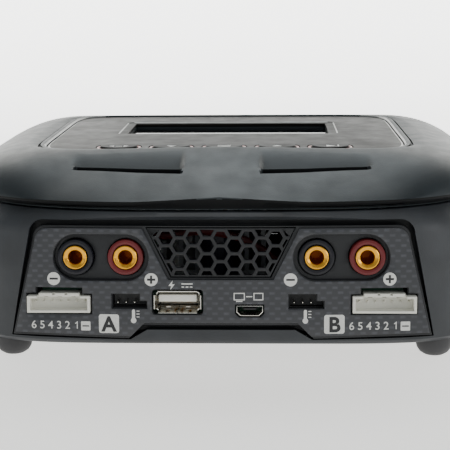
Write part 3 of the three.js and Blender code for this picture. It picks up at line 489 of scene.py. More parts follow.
def rounded(width, height, radius, u=0, v=0, steps=6):
    """The points of a rounded rectangle, counter-clockwise."""
    points = []
    for quarter, (su, sv) in enumerate(((1, 1), (-1, 1), (-1, -1), (1, -1))):
        for i in range(steps + 1):
            angle = (quarter + i / steps) * math.pi / 2
            points.append((u + su * (width / 2 - radius) + radius * math.cos(angle),
                           v + sv * (height / 2 - radius) + radius * math.sin(angle)))
    return points


def circle(x, z, r, count=64):
    return [(x + r * math.cos(2 * math.pi * i / count), z + r * math.sin(2 * math.pi * i / count))
            for i in range(count)]


def bar(x, z, w, h):
    """The corners of a plain rectangle round a middle."""
    return [(x - w / 2, z - h / 2), (x + w / 2, z - h / 2), (x + w / 2, z + h / 2), (x - w / 2, z + h / 2)]


def mix(a, b, t):
    return a + (b - a) * t


def smooth(low, high, x):
    """0 below low and 1 above high, with an easy step between."""
    t = np.clip((x - low) / (high - low), 0, 1)
    return t * t * (3 - 2 * t)


# ---------------------------------------------------------------- the leaning front frame
LEAN = math.radians(5)
FRONT_ORIGIN = Vector((0, -74.5, 26.5))
FRONT = Matrix.Translation(FRONT_ORIGIN) @ Matrix.Rotation(-LEAN, 4, "X")
PANEL_CURVE = 0.0008  # the front bows back by this times x squared


def bow(x):
    """How far back the front's middle line lies beside its middle."""
    return PANEL_CURVE * x * x


def wound(outline, clockwise=False):
    """The outline in the given direction."""
    area = sum(u * outline[i - 1][1] - outline[i - 1][0] * v for i, (u, v) in enumerate(outline))
    return list(outline) if (area > 0) == clockwise else list(reversed(outline))


def flat_plate(name, outer, holes, depth, bevel, material):
    """A plate with holes, filled in the xy plane, its face at z = 0 and its back at -depth."""
    curve = bpy.data.curves.new(name, "CURVE")
    curve.dimensions = "2D"
    curve.fill_mode = "BOTH"
    curve.extrude = depth / 2 - bevel
    curve.bevel_depth = bevel
    curve.bevel_resolution = 1
    curve.offset = -bevel
    for outline in [wound(outer), *(wound(hole, True) for hole in holes)]:
        spline = curve.splines.new("POLY")
        spline.points.add(len(outline) - 1)
        for point, (u, v) in zip(spline.points, outline):
            point.co = (u, v, 0, 1)
        spline.use_cyclic_u = True
    return clean(from_curve(name, curve, (0, 0, -depth / 2), material), 1e-3)


def slice_mesh(target, step=3.0):
    """Adds lines across a flat plate, so that it can be bowed."""
    mesh = bmesh.new()
    mesh.from_mesh(target.data)
    xs = [v.co.x for v in mesh.verts]
    for x in np.arange(min(xs) + step, max(xs), step):
        parts = mesh.verts[:] + mesh.edges[:] + mesh.faces[:]
        bmesh.ops.bisect_plane(mesh, geom=parts, plane_co=(float(x), 0, 0), plane_no=(1, 0, 0))
    mesh.to_mesh(target.data)
    mesh.free()
    return target


def to_front(target, y=0.0, bowed=True):
    """Stands a flat plate up in the leaning front frame, its face at y."""
    for vertex in target.data.vertices:
        u, v, w = vertex.co
        vertex.co = FRONT @ Vector((u, y - w + (bow(u) if bowed else 0), v))
    return target


# ---------------------------------------------------------------- housing shapes
COVER_LOW, COVER_HIGH = node_box("top_cover")
BASE_LOW, BASE_HIGH = node_box("base_shell")
PANEL_LOW, PANEL_HIGH = node_box("control_panel")
HALF_WIDTH = COVER_HIGH[0]
HALF_DEPTH = COVER_HIGH[1]
COVER_TOP = COVER_HIGH[2]
COVER_EDGE = 51.4  # height of the cover's widest line
SEAM = BASE_HIGH[2]
SEAM_GAP = 0.5
SEAM_HALF_DEPTH = 75.0
SEAM_EXPONENT = 3.4  # of the superellipse at the seam
INNER_HALF_WIDTH = 82.0  # the walls' inside at the seam
INNER_HALF_DEPTH = 72.6
BASE_BOTTOM = BASE_LOW[2] - 0.5
PANEL_HALF_X = PANEL_HIGH[0]
PANEL_HALF_Y = PANEL_HIGH[1]
PANEL_TOP = PANEL_HIGH[2]
PANEL_THICKNESS = 1.1
PANEL_EXPONENT = 9  # of the superellipse round the control plate
GAP = 0.3
SHELF_TOP = PANEL_TOP - PANEL_THICKNESS - GAP
SHELF_BOTTOM = SHELF_TOP - 1.8
WALL = 2.4
WINDOW = {"x": 0.0, "y": 11.0, "w": 71.0, "d": 28.6}
BUTTON_SIZE = (12.0, 8.0)
BUTTONS = {name: middle("button_" + name)[:2] for name in ("channel", "down", "menu", "up", "enter")}


def polar(a, b, n, angles):
    """A superellipse's points on rays at these angles."""
    c, s = np.cos(angles), np.sin(angles)
    r = (np.abs(c / a) ** n + np.abs(s / b) ** n) ** (-1 / n)
    return r * c, r * s


def even_angles(count, a, b, n):
    """Ray angles that space a superellipse's points evenly."""
    dense = np.linspace(0, 2 * math.pi, 8000)
    x, y = polar(a, b, n, dense)
    length = np.concatenate([[0], np.cumsum(np.hypot(np.diff(x), np.diff(y)))])
    wanted = np.linspace(0, length[-1], count, endpoint=False)
    return np.interp(wanted, length, dense)


def ring_row(a, b, n, angles, height):
    x, y = polar(a, b, n, angles)
    z = np.full_like(x, height) if np.isscalar(height) else height
    return np.stack([x, y, z], 1)


# ---------------------------------------------------------------- cover
COVER_POINTS = 720
LIP_HALF_X = PANEL_HALF_X + 2  # the skin's top edge, round the control plate
LIP_HALF_Y = PANEL_HALF_Y + 1.5
SKIN_EXPONENTS = (3.6, 8)  # of the superellipse, at the widest line and at the top edge
SCOOP = {"inner": 12.3, "outer": 45.5}
CREASE = 0.990  # the share of the way up at which a crescent's inner wall stands
CREASE_GROOVE = 0.034  # how much of that share the groove beside the wall takes
CREASE_X = 50  # the crescents lie further out than this


def prow(x, y):
    """How much of the front edge's rise a point takes, 1 at the middle."""
    return np.where(y < 0, np.clip(1 - np.abs(x) / 26, 0, 1) ** 1.15, 0)


def along_scoop(x):
    """0 at a scoop's inner end and 1 at its outer end."""
    return np.clip((np.abs(x) - SCOOP["inner"]) / (SCOOP["outer"] - SCOOP["inner"]), -0.3, 1.3)


def scoop_front(x):
    return mix(-65.2, -61.9, along_scoop(x))


def slot_back(x):
    return scoop_front(x) + mix(3.1, 2.2, along_scoop(x))


def scoop_back(x):
    return mix(-50.4, -52.0, along_scoop(x))


def cover_shape(t, angles):
    """Points of the cover's skin at a share t of the way up, before its scoops are sunk."""
    a = mix(HALF_WIDTH, LIP_HALF_X, t)
    b = mix(HALF_DEPTH, LIP_HALF_Y, t)
    n = mix(*SKIN_EXPONENTS, t)
    x, y = polar(a, b, n, angles)
    side = np.sqrt(1 - (1 - t) ** 2)
    front = 1 - (1 - t) ** 1.25
    to_side = smooth(0.6, 0.97, np.abs(x) / a)
    rise = mix(front, side, to_side) * (COVER_TOP - COVER_EDGE)
    hump = 0.75 * np.exp(-((x / 30) ** 2)) * smooth(0.55, 1, t) * (y < 0)
    z = COVER_EDGE + rise + 1.5 * prow(x, y) * (1 - t) + hump
    return x, y, z


def share_at(target, angles):
    """For each ray, the share t at which the skin reaches y = target(x)."""
    shares = np.linspace(0.02, 0.99, 300)
    found = np.full(len(angles), np.nan)
    previous = None
    for t in shares:
        x, y, _ = cover_shape(t, angles)
        gap = y - target(x)
        if previous is not None:
            crossed = (previous[1] < 0) & (gap >= 0) & np.isnan(found)
            part = previous[1] / (previous[1] - gap)
            found = np.where(crossed, previous[0] + part * (t - previous[0]), found)
        previous = (t, gap)
    return found


def scoop_share(target, angles, fallback):
    """share_at near the scoops, easing to a fixed share away from them."""
    x, y, _ = cover_shape(0.55, angles)
    found = share_at(target, angles)
    near = 1 - smooth(47, 54, np.abs(x))
    near = np.where((y < 0) & ~np.isnan(found), near, 0)
    return mix(fallback, np.nan_to_num(found), near)


def scoop_ends(x, inner_soft=1.7, outer_soft=2.4):
    """1 along a scoop, easing to 0 at its ends."""
    s = np.abs(x)
    inner = smooth(SCOOP["inner"] - inner_soft / 2, SCOOP["inner"] + inner_soft / 2, s)
    outer = 1 - smooth(SCOOP["outer"] - outer_soft / 2, SCOOP["outer"] + outer_soft / 2, s)
    return inner * outer


def scoop_depth(x, y):
    """How far the floor of a scoop lies under the skin."""
    v = np.clip((y - slot_back(x)) / (scoop_back(x) - slot_back(x)), 0, 1)
    deepest = mix(2.12, 1.46, along_scoop(x))
    return deepest * (1 - v) ** 1.35 * scoop_ends(x) * (y < 0)


def crescent_depth(t, x, y):
    """A crescent sunk beside the control panel: steep inside, easing out."""
    reach = np.clip(1 - (np.abs(y + 0.5) / 42) ** 2, 0, 1)
    width = 0.09 + 0.17 * reach
    v = np.clip((CREASE - t) / width, 0, 1)
    ends = smooth(0, 5, 42.5 - np.abs(y + 0.5))
    groove = 0.6 * (t > CREASE - CREASE_GROOVE)
    deep = (0.6 * (1 - v) ** 1.3 + groove) * ends
    return np.where((t < CREASE) & (np.abs(x) > CREASE_X), deep, 0)


def in_slot(x, y):
    """1 where a scoop has its slot, 0 elsewhere."""
    return np.where(y < 0, smooth(0.5, 0.9, scoop_ends(x, 1.0, 1.2)), 0)


SLOT_DEPTH = 5.0
SLOT_WALL = ((0.004, 0.35), (0.006, 1.2), (0.008, SLOT_DEPTH))  # share past the front edge, depth
PLATE_SHARE = 0.926  # how far up the skin the crescents begin


def cover_rows():
    """The rays from the middle, and the skin's rings from its widest line up to its top edge."""
    angles = even_angles(COVER_POINTS, 74, 64, 5)
    front = scoop_share(scoop_front, angles, 0.46)
    slot_end = scoop_share(slot_back, angles, 0.56)
    back = scoop_share(scoop_back, angles, 0.86)
    rows = []

    def add(t, sink=0.0):
        x, y, z = cover_shape(t, angles)
        floor = np.where(t >= slot_end - 1e-6, scoop_depth(x, y), 0)
        z = z - floor - crescent_depth(t, x, y) - sink * in_slot(x, y)
        rows.append(np.stack([x, y, z], 1))

    for share in np.linspace(0, 1, 34) ** 1.3:
        add(front * share)
    for step, sink in SLOT_WALL:
        add(front + step, sink)
    for share in (0.3, 0.6, 0.85):
        add(mix(front, slot_end, share), SLOT_DEPTH)
    for step, sink in ((0.008, SLOT_DEPTH), (0.006, 0.9), (0.003, 0.25)):
        add(slot_end - step, sink)
    for share in np.linspace(0, 1, 36):
        add(mix(slot_end, back, share))
    for share in np.linspace(0, 1, 26)[1:]:
        add(mix(back, PLATE_SHARE, share))
    for share in np.linspace(0, 1, 7)[1:]:
        add(mix(PLATE_SHARE, 0.955, share))
    for t in (CREASE - 0.0345, CREASE - 0.0335, 0.963, 0.97, 0.978, CREASE - 0.003, CREASE - 0.001,
              CREASE + 0.002, 0.996, 1.0):
        add(t)
    return angles, rows


def cover_underside(angles):
    """The cover's inside, from the ledge under the control plate down to the seam, and its lower edge."""
    foot = SEAM + SEAM_GAP
    inside = [ring_row(INNER_HALF_WIDTH, INNER_HALF_DEPTH, SEAM_EXPONENT, angles, foot)]
    for t in (0.02, 0.2, 0.5, 0.86):
        x, y, z = cover_shape(t, angles)
        inside.append(np.stack([x * (1 - WALL / HALF_WIDTH), y * (1 - WALL / HALF_DEPTH), z - WALL], 1))
    inside.append(ring_row(PANEL_HALF_X - 1, PANEL_HALF_Y - 1, PANEL_EXPONENT, angles, SHELF_BOTTOM))
    below = [
        ring_row(HALF_WIDTH - 1.6, SEAM_HALF_DEPTH - 0.35, SEAM_EXPONENT, angles, foot),
        ring_row(HALF_WIDTH - 1.25, SEAM_HALF_DEPTH, SEAM_EXPONENT, angles, foot + 0.35),
        ring_row(HALF_WIDTH - 1.0, SEAM_HALF_DEPTH + 0.8, 3.45, angles, foot + 1.1),
    ]
    x, y, z = cover_shape(0, angles)
    edge = [np.stack([x * shrink, y * shrink, z - drop], 1)
            for shrink, drop in ((0.9965, 0.75), (0.9992, 0.35))]
    return [*reversed(inside), *below, *edge]


def cover_pocket(lip, angles):
    """The rounded lip and the pocket that the control plate lies in."""
    half = (PANEL_HALF_X + GAP, PANEL_HALF_Y + GAP)
    a, b = polar(*half, PANEL_EXPONENT, angles)
    pocket = [np.stack([mix(lip[:, 0], a, shift), mix(lip[:, 1], b, shift), lip[:, 2] - drop], 1)
              for shift, drop in ((0.6, 0.03), (0.72, 0.08), (0.9, 0.3), (1.0, 0.6))]
    return [*pocket, ring_row(*half, PANEL_EXPONENT, angles, SHELF_TOP)]


def make_cover():
    angles, outer = cover_rows()
    rows = [*cover_underside(angles), *outer, *cover_pocket(outer[-1], angles)]
    cover = loft("cover_shell", rows, "cover")
    below, above = 40, 80  # heights clear of the cover on both sides
    holes = [prism("window_hole", bar(WINDOW["x"], WINDOW["y"], WINDOW["w"], WINDOW["d"]), below, above)]
    for x, y in BUTTONS.values():
        holes.append(button_prism("hole", x, y, 3.4, below, above))
    cut(cover, merge("holes", holes))
    paint_cover_shade_and_highlights(cover)
    finish_piece(cover, "charger", ["top_cover"], 28)


def way_up(x, y):
    """The share t of the way up at which the cover's skin passes over a point."""
    low, high = 0.0, 1.2
    for _ in range(18):
        t = (low + high) / 2
        a, b, n = mix(HALF_WIDTH, LIP_HALF_X, t), mix(HALF_DEPTH, LIP_HALF_Y, t), mix(*SKIN_EXPONENTS, t)
        if (abs(x) / a) ** n + (abs(y) / b) ** n > 1:
            high = t
        else:
            low = t
    return low


def in_plate(x, y, grow):
    """Whether a point lies within the control plate's outline grown by this much."""
    across, along = abs(x) / (PANEL_HALF_X + grow), abs(y) / (PANEL_HALF_Y + grow)
    return across ** PANEL_EXPONENT + along ** PANEL_EXPONENT < 1


def paint_cover_shade_and_highlights(cover):
    """Painted shade on the undercut, the slots and the creases, and a painted highlight on the lip round the
    control plate.
    """
    cover.data.materials.append(MATERIALS["painted_shade"])
    cover.data.materials.append(MATERIALS["edge"])
    for face in cover.data.polygons:
        x, y, z = face.center
        # Painted shade: the downward undercut, the scoops' slots and the grooves beside the crescents get the
        # near-black material.
        under = SEAM + SEAM_GAP + 0.6 < z < COVER_EDGE + 0.9 and face.normal.z < -0.05
        slot = (scoop_front(x) + 0.12 < y < slot_back(x) - 0.05 and z > COVER_EDGE
                and SCOOP["inner"] + 0.3 < abs(x) < SCOOP["outer"] - 0.4)
        crease = (abs(x) > CREASE_X and abs(y + 0.5) < 41 and z > COVER_TOP - 4
                  and CREASE - 0.0348 < way_up(x, y) < CREASE + 0.001)
        # Painted highlight: the cover's lip round the control plate gets the light grey material.
        lip = abs(x) > CREASE_X and z > COVER_TOP - 0.9 and in_plate(x, y, 0.8)
        if lip:
            face.material_index = 2
        elif under or slot or crease:
            face.material_index = 1


def oval_points(w, d, x, y, count=48):
    """The outline of a button: an oval with fuller corners than an ellipse."""
    points = []
    for i in range(count):
        angle = 2 * math.pi * i / count
        c, s = math.cos(angle), math.sin(angle)
        points.append((x + w / 2 * math.copysign(abs(c) ** 0.75, c),
                       y + d / 2 * math.copysign(abs(s) ** 0.75, s)))
    return points


def button_prism(name, x, y, grow, low, high):
    """A button's outline grown by this much in width and depth, as a cutter."""
    return prism(name, oval_points(BUTTON_SIZE[0] + grow, BUTTON_SIZE[1] + grow, x, y), low, high)


# ---------------------------------------------------------------- lower housing
BASE_POINTS = 560
BASE_PROFILE = [  # height, half width, half depth, exponent
    (BASE_BOTTOM, 80.0, 72.0, 6.0),
    (BASE_BOTTOM + 0.15, 80.9, 72.9, 6.0),
    (BASE_BOTTOM + 0.6, 81.7, 73.6, 6.0),
    (BASE_BOTTOM + 1.6, 82.4, 74.2, 6.0),
    (BASE_BOTTOM + 24, 83.2, 74.7, 5.2),
    (BASE_BOTTOM + 36, 84.0, 74.9, 4.3),
    (SEAM - 0.35, 84.4, SEAM_HALF_DEPTH, SEAM_EXPONENT),
    (SEAM - 0.1, 84.2, SEAM_HALF_DEPTH - 0.15, SEAM_EXPONENT),
    (SEAM, 83.9, SEAM_HALF_DEPTH - 0.4, SEAM_EXPONENT),
]
CORNER_NAMES = ("front_left", "front_right", "rear_right", "rear_left")


def base_row(height, angles):
    heights = [p[0] for p in BASE_PROFILE]
    a, b, n = (np.interp(height, heights, [p[k] for p in BASE_PROFILE]) for k in (1, 2, 3))
    return ring_row(a, b, n, angles, height)


FACE_FOOT, FACE_TOP = -17.2, 16.6  # the front panel's lower and upper edges, in the front frame


def leaning(wide, narrow, z):
    """The half width of a leaning side at a height, from its values at the panel's foot and top."""
    return mix(wide, narrow, (z - FACE_FOOT) / (FACE_TOP - FACE_FOOT))


def mirrored(points):
    """The outline of which these points are the left half."""
    return points + [(-x, z) for x, z in reversed(points)]


def corner(half, top, radius, steps=8):
    """The arc of an upper left corner."""
    angles = [math.pi - i / steps * math.pi / 2 for i in range(steps + 1)]
    return [(-half + radius + radius * math.cos(angle), top - radius + radius * math.sin(angle))
            for angle in angles]


def panel_outline(margin=0.0):
    """The front panel's outline in the front frame, as (x, z) points, with notches at its foot."""
    top, radius = FACE_TOP + margin, 4
    foot_half, top_half = (leaning(64.3, 56.6, z) + margin for z in (FACE_FOOT, top - radius))
    points = [(-24.0 - margin, -13.85 - margin), (-28.2 - margin, -18.1 - margin),
              (-foot_half, -17.3 - margin)]
    return mirrored(points + corner(top_half, top, radius))


def opening_outline(spare):
    """The lower housing's front opening: a groove round the panel, wider above and in the middle."""
    top, radius = FACE_TOP + 1.9 + spare, 4.6
    foot_half, top_half = (leaning(64.9, 58.1, z) + spare for z in (-17.7, top - radius))
    return mirrored([(-22.6, -15.5), (-27.8, -18.6), (-foot_half, -17.8)] + corner(top_half, top, radius))


def in_front(points, y):
    """The points stood up in the front frame at a depth."""
    return [FRONT @ Vector((x, y, z)) for x, z in points]


FLOOR_SLOT = {"w": 34, "d": 2.6, "pitch": 6.2, "y": 4}  # the air slots in the floor
POST_TOP = 13.2
REAR = {"w": 122, "h": 33, "z": 26.5}  # the rear panel


def make_base():
    angles = even_angles(BASE_POINTS, 83, 74.5, 5)
    heights = [p[0] for p in BASE_PROFILE]
    levels = heights[:4] + list(np.linspace(BASE_BOTTOM + 3, SEAM - 1.5, 26)) + heights[-3:]
    outer = [base_row(h, angles) for h in levels]
    inner = [ring_row(INNER_HALF_WIDTH, INNER_HALF_DEPTH, SEAM_EXPONENT, angles, SEAM),
             ring_row(80.8, 72.4, 5.2, angles, BASE_BOTTOM + 24),
             ring_row(79.6, 71.6, 6, angles, BASE_BOTTOM + 2.2)]
    shell = clean(loft("base_housing", [*outer, *inner], "housing"))
    cut(shell, front_cutter())
    cut(shell, rear_cutter(0.35))
    slots = []
    for i in range(-3, 4):
        outline = rounded(FLOOR_SLOT["w"], FLOOR_SLOT["d"], FLOOR_SLOT["d"] / 2 - 0.01,
                          0, i * FLOOR_SLOT["pitch"] + FLOOR_SLOT["y"])
        slots.append(prism("slot", outline, BASE_BOTTOM - 4, BASE_BOTTOM + 4))
    screws = [middle("case_screw_" + name) for name in CORNER_NAMES]
    for x, y, _ in screws:
        slots.append(prism("screw_well", circle(x, y, 3.4, 40), BASE_BOTTOM - 2, BASE_BOTTOM + 3.4))
    cut(shell, merge("slots", slots))
    profile = [(3.5, BASE_BOTTOM + 2.0), (4.6, BASE_BOTTOM + 2.0), (4.6, POST_TOP), (3.5, POST_TOP)]
    posts = [lathe("post", profile, (x, y, 0), "housing", "Z", 40) for x, y, _ in screws]
    shell = merge("base_housing", [shell, *posts])
    finish_piece(shell, "charger", ["base_shell"], 30)


def front_cutter():
    """The opening for the front panel, splayed out towards the front."""
    stages = ((0.0, 16.0), (0.0, 1.6), (0.0, 0.0), (1.6, -3.0), (3.2, -6.0))  # spare, depth
    return clean(loft("front_opening", [in_front(opening_outline(spare), y) for spare, y in stages]))


def rear_outline(margin=0.0):
    """The rear panel's outline, as (x, z) points."""
    return rounded(REAR["w"] + 2 * margin, REAR["h"] + 2 * margin, 4, 0, REAR["z"])


def rear_cutter(margin):
    rows = [[(x, y, z) for x, z in rear_outline(margin)] for y in (62, 95)]
    return clean(loft("rear_opening", rows))


make_cover()
make_base()


# ---------------------------------------------------------------- front panel
SOCKET_Z = 6.85
SOCKETS = {"a_negative": -44.3, "a_positive": -29.0, "b_negative": 29.0, "b_positive": 44.3}
SIDES = {"a": -1, "b": 1}  # the two channels, left and right
POD = {"x": 36.5, "half": 14.75, "r": 7.2}
HEADER = {"x": 49.55, "z": -7.5, "w": 19.9, "h": 5.75}
TEMP = {"a": -28.95, "b": 24.8, "z": -6.5}
USB = {"x": -13.15, "z": -6.7}
MICRO = {"x": 8.75, "z": -9.3}
VENT = {"top": 15.85, "bottom": 1.1, "half_top": 22.4, "half_bottom": 14.95}
HEX_PITCH = 4.8
HEX_HOLE = 3.75  # across the flats
HEX_Z = 3.3  # a hole's middle, from which the others are stepped
FACE_Y = -0.15  # the overlay's face


def pod_outline(side, grow=0.0, round_grow=None):
    """The stadium round a pair of sockets, grown lengthways and, if told otherwise, across."""
    half, r = POD["half"] + grow, POD["r"] + (grow if round_grow is None else round_grow)
    return rounded(2 * half, 2 * r, r - 0.01, side * POD["x"], SOCKET_Z, 12)


def header_outline(side, grow):
    """A balance header's opening, with the wide notch over its middle."""
    x, z = side * HEADER["x"], HEADER["z"]
    half, high = HEADER["w"] / 2 + grow, HEADER["h"] / 2 + grow
    notch, top = 7 + grow, HEADER["h"] / 2 + 2.0 + grow / 2
    return [(x - half, z - high), (x + half, z - high), (x + half, z + high), (x + notch, z + high),
            (x + notch, z + top), (x - notch, z + top), (x - notch, z + high), (x - half, z + high)]


def temp_outline(x, grow):
    """A temperature socket's opening, with its key at the lower right."""
    z = TEMP["z"]
    return [(x - 4.1 - grow, z - 2.05 - grow), (x + 6.3 + grow, z - 2.05 - grow),
            (x + 6.3 + grow, z - 0.05 + grow), (x + 4.1 + grow, z - 0.05 + grow),
            (x + 4.1 + grow, z + 2.05 + grow), (x - 4.1 - grow, z + 2.05 + grow)]


def micro_outline(margin):
    """The small USB socket's opening, its lower corners cut off."""
    points = [(-2.6, -1.3), (2.6, -1.3), (3.75, -0.2), (3.75, 1.3), (-3.75, 1.3), (-3.75, -0.2)]
    return [(MICRO["x"] + x + math.copysign(margin, x), MICRO["z"] + z + math.copysign(margin, z))
            for x, z in points]


def vent_outline(margin):
    bottom, top = VENT["half_bottom"] + margin, VENT["half_top"] + margin
    return [(-bottom, VENT["bottom"] - margin), (bottom, VENT["bottom"] - margin),
            (top, VENT["top"] + margin), (-top, VENT["top"] + margin)]


def port_holes(grow):
    """The openings under the socket pods, in a sheet or panel."""
    return [header_outline(-1, grow), header_outline(1, grow),
            temp_outline(TEMP["a"], grow), temp_outline(TEMP["b"], grow),
            rounded(15.4 + grow, 7.5 + grow, 1.1, USB["x"], USB["z"]),
            micro_outline(0.55 + grow / 2)]


def overlay_outline():
    """The panel's outline set in, and open at the top round the vent."""
    outline = panel_outline(-0.8)
    slope = (VENT["half_top"] - VENT["half_bottom"]) / (VENT["top"] - VENT["bottom"])
    top = outline[len(outline) // 2][1]
    low = VENT["bottom"] - 0.9
    at_low = VENT["half_bottom"] + 1.0
    at_top = at_low + (top - low) * slope
    notch = [(-at_top, top), (-at_low, low), (at_low, low), (at_top, top)]
    half = len(outline) // 2
    return outline[:half] + notch + outline[half:]


def bowed_plate(name, outer, holes, y, depth, bevel, material):
    """A plate that follows the front's bow, its face at y."""
    plate = flat_plate(name, outer, holes, depth, bevel, material)
    return to_front(slice_mesh(plate), y)


def clip(polygon, fence):
    """A convex polygon's part inside a counter-clockwise convex fence."""
    for i, a in enumerate(fence):
        b = fence[(i + 1) % len(fence)]
        kept = []
        for j, p in enumerate(polygon):
            q = polygon[(j + 1) % len(polygon)]
            side_p, side_q = ((b[0] - a[0]) * (r[1] - a[1]) - (b[1] - a[1]) * (r[0] - a[0])
                              for r in (p, q))
            if side_p >= 0:
                kept.append(p)
            if side_p * side_q < 0:
                share = side_p / (side_p - side_q)
                kept.append((mix(p[0], q[0], share), mix(p[1], q[1], share)))
        polygon = kept
        if not polygon:
            return []
    return polygon


def polygon_area(polygon):
    return abs(sum(u * polygon[i - 1][1] - polygon[i - 1][0] * v
                   for i, (u, v) in enumerate(polygon))) / 2


def thinned(points, closest):
    """The outline without the points that crowd their neighbours."""
    kept = []
    for x, z in points:
        if all(math.hypot(x - u, z - v) > closest for u, v in kept):
            kept.append((x, z))
    return kept


def hexagons():
    """The grille's holes, each clipped to the part of the grille that has holes in it."""
    found = []
    fence = vent_outline(-0.45)
    radius = HEX_HOLE / math.sqrt(3)
    for k in range(-5, 6):
        for row in range(-1, 4):
            x = k * HEX_PITCH * math.sqrt(3) / 2
            z = HEX_Z + (HEX_PITCH / 2 if k % 2 else 0) + row * HEX_PITCH
            shape = thinned(clip(circle(x, z, radius, 6), fence), 0.25)
            if len(shape) > 2 and polygon_area(shape) > 1.0:
                found.append(shape)
    return found


def make_front():
    """The panel, the floors of the socket pods, the flange, the overlay and the grille."""
    holes = [*(pod_outline(side, -0.3) for side in SIDES.values()), vent_outline(GAP), *port_holes(0)]
    panel = bowed_plate("front_panel_plate", panel_outline(), holes, 0.55, 2.4, 0.2, "recess")
    finish_piece(panel, "charger", ["front_panel"])
    for letter, side in SIDES.items():
        floor = pod_outline(side, 1, 0.8)
        rings = [circle(x, SOCKET_Z, 5.75) for x in SOCKETS.values() if x * side > 0]
        pod = bowed_plate("socket_pod_" + letter, floor, rings, 1.9, 1.8, 0.15, "recess")
        finish_piece(pod, "charger", [])
    edge = mirrored([(-21.6, -15.6), (-24.6, -16.4), (-63.4, -16.4), (-59.6, 19.6)])
    flange = bowed_plate("front_panel_flange", edge, [panel_outline(-1.5)], 4.8, 0.7, 0.1, "recess")
    finish_piece(flange, "charger", [])
    holes = [*(pod_outline(side) for side in SIDES.values()), *port_holes(0.3)]
    sheet = bowed_plate("front_overlay_sheet", overlay_outline(), holes, FACE_Y, 0.4, 0.08, "weave")
    finish_piece(sheet, "charger", ["front_overlay"])
    grille = bowed_plate("hex_grille", vent_outline(0), hexagons(), 0.5, 2.2, 0.12, "recess")
    finish_piece(grille, "charger", ["vent_grille"])


# ---------------------------------------------------------------- printed legends
INK_DEPTH = 0.05


def ink(name, outer, holes=(), material="ink", lift=0.0):
    """A printed shape on the overlay."""
    plate = flat_plate(name, outer, holes, INK_DEPTH, 0.004, material)
    return to_front(plate, FACE_Y - INK_DEPTH * 0.8 - lift)


def written(text, x, z, height, material, weight=0.0, lift=0.0):
    """Plain digits or a letter, centred at x, its foot at z."""
    curve = bpy.data.curves.new("legend", "FONT")
    curve.body = text
    curve.size = height * 1.36
    curve.align_x = "CENTER"
    curve.extrude = INK_DEPTH / 2
    curve.offset = weight
    made = from_curve("legend", curve, (x, z, 0), material)
    return to_front(made, FACE_Y - INK_DEPTH * 0.3 - lift)


def digit_one(x, z):
    """A plain 1, with its flag and no foot."""
    shape = [(0.02, 0), (0.32, 0), (0.32, 2.3), (0.12, 2.3), (-0.08, 2.02), (-0.5, 1.76), (-0.5, 1.48),
             (0.02, 1.72)]
    return ink("one", [(x + u, z + v) for u, v in shape])


def cross(x, z, w, t):
    """A plus sign's outline."""
    a, b = w / 2, t / 2
    return [(x + u, z + v) for u, v in ((-a, -b), (-b, -b), (-b, -a), (b, -a), (b, -b), (a, -b),
                                         (a, b), (b, b), (b, a), (-b, a), (-b, b), (-a, b))]


def cell_marks():
    """Under each balance header: the cells' numbers and a boxed minus."""
    pitch = 2.62
    for first, box_x in ((-57.3, -41.4), (39.9, 56.0)):
        for i, digit in enumerate("654321"):
            x = first + i * pitch
            yield digit_one(x, -15.2) if digit == "1" else written(digit, x - 0.25, -15.25, 2.5, "ink", 0.02)
        yield ink("box", rounded(2.9, 2.8, 0.25, box_x, -14.3), [bar(box_x, -14.3, 2.1, 0.42)])


def port_marks():
    """Direct current and a bolt for USB, a screen and a box for the small USB, and two thermometers."""
    yield ink("bar", bar(-10.2, -1.05, 3.4, 0.36))
    for i in (-1, 0, 1):
        yield ink("dash", bar(-10.2 + i * 1.25, -2.0, 0.8, 0.36))
    bolt = [(0.35, 1.5), (-0.95, -0.2), (-0.1, -0.2), (-0.45, -1.5), (0.95, 0.35), (0.1, 0.35)]
    yield ink("bolt", [(-14.9 + u, -1.5 + v) for u, v in bolt])
    yield ink("screen", bar(5.6, -4.9, 3.4, 2.3), [bar(5.6, -4.9, 2.8, 1.7)])
    yield ink("stand", bar(5.6, -6.35, 1.9, 0.36))
    yield ink("link", bar(8.6, -4.9, 1.9, 0.34))
    yield ink("box", bar(11.4, -4.9, 3.0, 2.3), [bar(11.4, -4.9, 2.4, 1.7)])
    for x in (-26.6, 25.6):
        yield ink("tube", rounded(0.95, 3.2, 0.46, x, -10.6))
        yield ink("bulb", circle(x, -12.4, 0.85, 24))
        for k in range(3):
            yield ink("tick", bar(x + 1.35, -9.5 - k * 0.9, 0.9, 0.26))


def make_legends():
    """Everything printed on the overlay: the light marks, and the dark ones on light ground."""
    light, dark = [*cell_marks(), *port_marks()], []
    z = 0.2
    for x, plus in ((-51.1, False), (-21.1, True), (21.1, False), (51.1, True)):
        mark = cross(x, z, 2.5, 0.66) if plus else bar(x, z, 2.6, 0.6)
        light.append(ink("disc", circle(x, z, 2.0), [mark]))
        dark.append(ink("mark", mark, [], "dark_ink", -0.02))
    for letter, x in (("A", -34.2), ("B", 34.4)):
        light.append(ink("tag", rounded(6.2, 5.8, 0.7, x, -13.5)))
        dark.append(written(letter, x, -15.78, 4.7, "dark_ink", 0.2, 0.05))
    finish_piece(merge("front_legends", light), "charger", [], 20)
    finish_piece(merge("channel_letters", dark), "charger", [], 20)


# ---------------------------------------------------------------- sockets and ports
FRONT_TURN = FRONT.to_3x3()


def front_lathe(name, profile, x, z, y, material, segments=72):
    return lathe(name, profile, FRONT @ Vector((x, y, z)), material, "Y", segments, FRONT_TURN)


def front_block(low, high, x, z, material=None):
    return block("block", low, high, material, FRONT @ Matrix.Translation((x, 0, z)))


